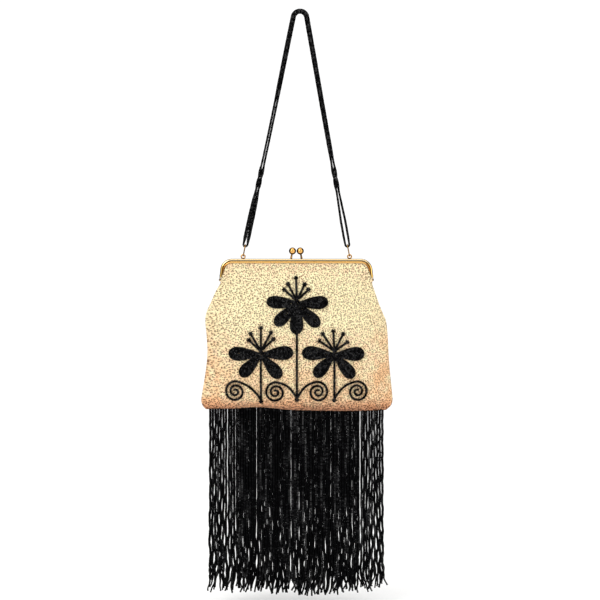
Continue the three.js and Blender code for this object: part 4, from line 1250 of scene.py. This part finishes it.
fringeForm = {
    "half": 96.2, "strands": 66, "pieces": 4, "inHem": 0.6,
    "rows": [-1.15, 1.15],  # each strand is two strings deep
    "bead": 1.57, "long": 1.6, "pitch": 1.6, "spread": (0.96, 1.03), "turned": (0.42, 0.62),
    # the strands at the sides are thinner, and so are all the ends
    "besideBead": 1.39, "thinFrom": (56, 74), "endLess": 0.06, "tipLess": 0.55,
    # how many beads long the dull and bright runs are, and how bright a strand is
    "polishRun": (25, 80), "polish": (0.2, 1.1),
}
fringeLengths = {"x": [-97, -60, -20, 20, 55, 80, 97], "z": [-632, -633, -634, -636, -635, -630.5, -628.5]}
partings = {"x": [-76, -44.5, -7, 62, 70.8], "wider": [0.2, 0.45, 0.3, 0.25, 0.45]}
strandForm = {
    "looserFrom": (62, 88),  # mm out from the middle of the fringe
    "sway": (0.3, 0.9), "swaySize": 26,
    # mm to either side all along, more of it at the sides and towards the ends, and how often
    "waves": [(0.06, 0.18, 0.32, 1), (0.04, 0.07, 0.09, 2.6)],
    "deep": 0.4, "own": 0.24, "bend": 1.5, "bendSize": 9,
    "curl": (0.5, 5.5), "curlFrom": 0.9, "curlPower": 1.7,
    "curlSides": [0.65, 0.35],  # chances of left and right
    "uneven": (-4.5, 3.5),
}


def fringeStrand(x, rng):
    top = float(bottomAt(np.array([x]))[0]) - bagForm["hemDrop"] + fringeForm["inHem"]
    end = float(readTable(fringeLengths, "x", "z", np.array([x]))[0])
    v = np.linspace(0, 1, 150)
    # straight at the top, looser towards the ends, which bend and curl; neighbours sway together
    loose, below = ease(v, 0.3, 1.0), ease(v, 0, 0.1)
    beside = float(ease(abs(x), *strandForm["looserFrom"]))
    together = np.stack([np.full_like(v, x), np.zeros_like(v), v * (top - end)], axis=1)
    always, atEnds = strandForm["sway"]
    moved = (always + atEnds * loose) * ripple(together, strandForm["swaySize"], 17)
    phase, waves = rng.uniform(0, 2 * math.pi, 3), rng.uniform(5, 9)
    turns = 2 * math.pi * waves * v
    for (always, atSides, atEnds, often), start in zip(strandForm["waves"], phase):
        moved = moved + (always + atSides * beside + atEnds * loose) * np.sin(often * turns + start)
    px = x + moved * below
    py = strandForm["deep"] * np.sin(1.7 * turns + phase[2]) * v
    rows = []
    for k, y in enumerate(fringeForm["rows"]):
        own = rng.normal(0, 0.05) + strandForm["own"] * loose * np.sin(0.8 * turns + rng.uniform(0, 6))
        bend = strandForm["bend"] * ease(v, 0.75, 1) * ripple(together, strandForm["bendSize"], 41 + k)
        curl = rng.choice([-1, 1], p=strandForm["curlSides"]) * rng.uniform(*strandForm["curl"])
        last = np.maximum(v - strandForm["curlFrom"], 0) / (1 - strandForm["curlFrom"])
        tip = curl * last ** strandForm["curlPower"]
        low = end + rng.uniform(*strandForm["uneven"])
        across = px + own * below + bend + tip + bagX
        rows.append(np.stack([across, py + y, top + (low - top) * v], axis=1))
    return rows


def strandPlaces(rng):  # where each strand leaves the seam; a few partings let more light through
    half, count = fringeForm["half"], fringeForm["strands"]
    gap = 2 * half / count
    places = -half + (np.arange(count) + 0.5) * gap + rng.normal(0, 0.07, count)
    for middle, wider in zip(partings["x"], partings["wider"]):
        k = round((middle + half) / gap)
        places[k - 1] -= wider / 2
        places[k] += wider / 2
    return places


def makeFringe():
    rng = np.random.default_rng(7)
    half, bead, thinner = fringeForm["half"], fringeForm["bead"], fringeForm["besideBead"]
    groups = [[] for _ in range(fringeForm["pieces"])]
    for x in strandPlaces(rng):
        share = (x + half) / (2 * half)
        group = groups[min(int(share * len(groups)), len(groups) - 1)]
        thick = bead + (thinner - bead) * float(ease(abs(x), *fringeForm["thinFrom"]))
        for path in fringeStrand(x, rng):
            places, ways = alongPath(path, fringeForm["pitch"])
            ways[-1] = [1, 0.2, 0]  # the thread turns back round the last bead
            down = np.linspace(0, 1, len(places))
            less = fringeForm["endLess"] * ease(down, 0.35, 1) + fringeForm["tipLess"] * ease(down, 0.9, 1)
            run = rng.uniform(*fringeForm["polishRun"])
            turns = 2 * math.pi * np.arange(len(places)) / run + rng.uniform(0, 6)
            polish = (0.5 + 0.35 * np.sin(turns)) * rng.uniform(*fringeForm["polish"])
            group.append((places, ways, thick - less, polish))
    total = 0
    for k, group in enumerate(groups):
        places, ways, radii, polish = (np.concatenate(column) for column in zip(*group))
        count = len(places)
        radii = radii * rng.uniform(*fringeForm["spread"], count)
        ways = ways + rng.normal(0, 0.04, ways.shape)
        polish = np.clip(polish + rng.normal(0, 0.2, count), 0, 1)
        long, turned = fringeForm["long"], fringeForm["turned"]
        piece = stringBeads(f"fringe{k + 1}", smallBead, places, ways, radii, long, 90 + k, turned, polish)
        handOver(piece, "jet_beads", "bead_fringe")
        total += count
    return total


print("fringe strung:", makeFringe(), "beads")
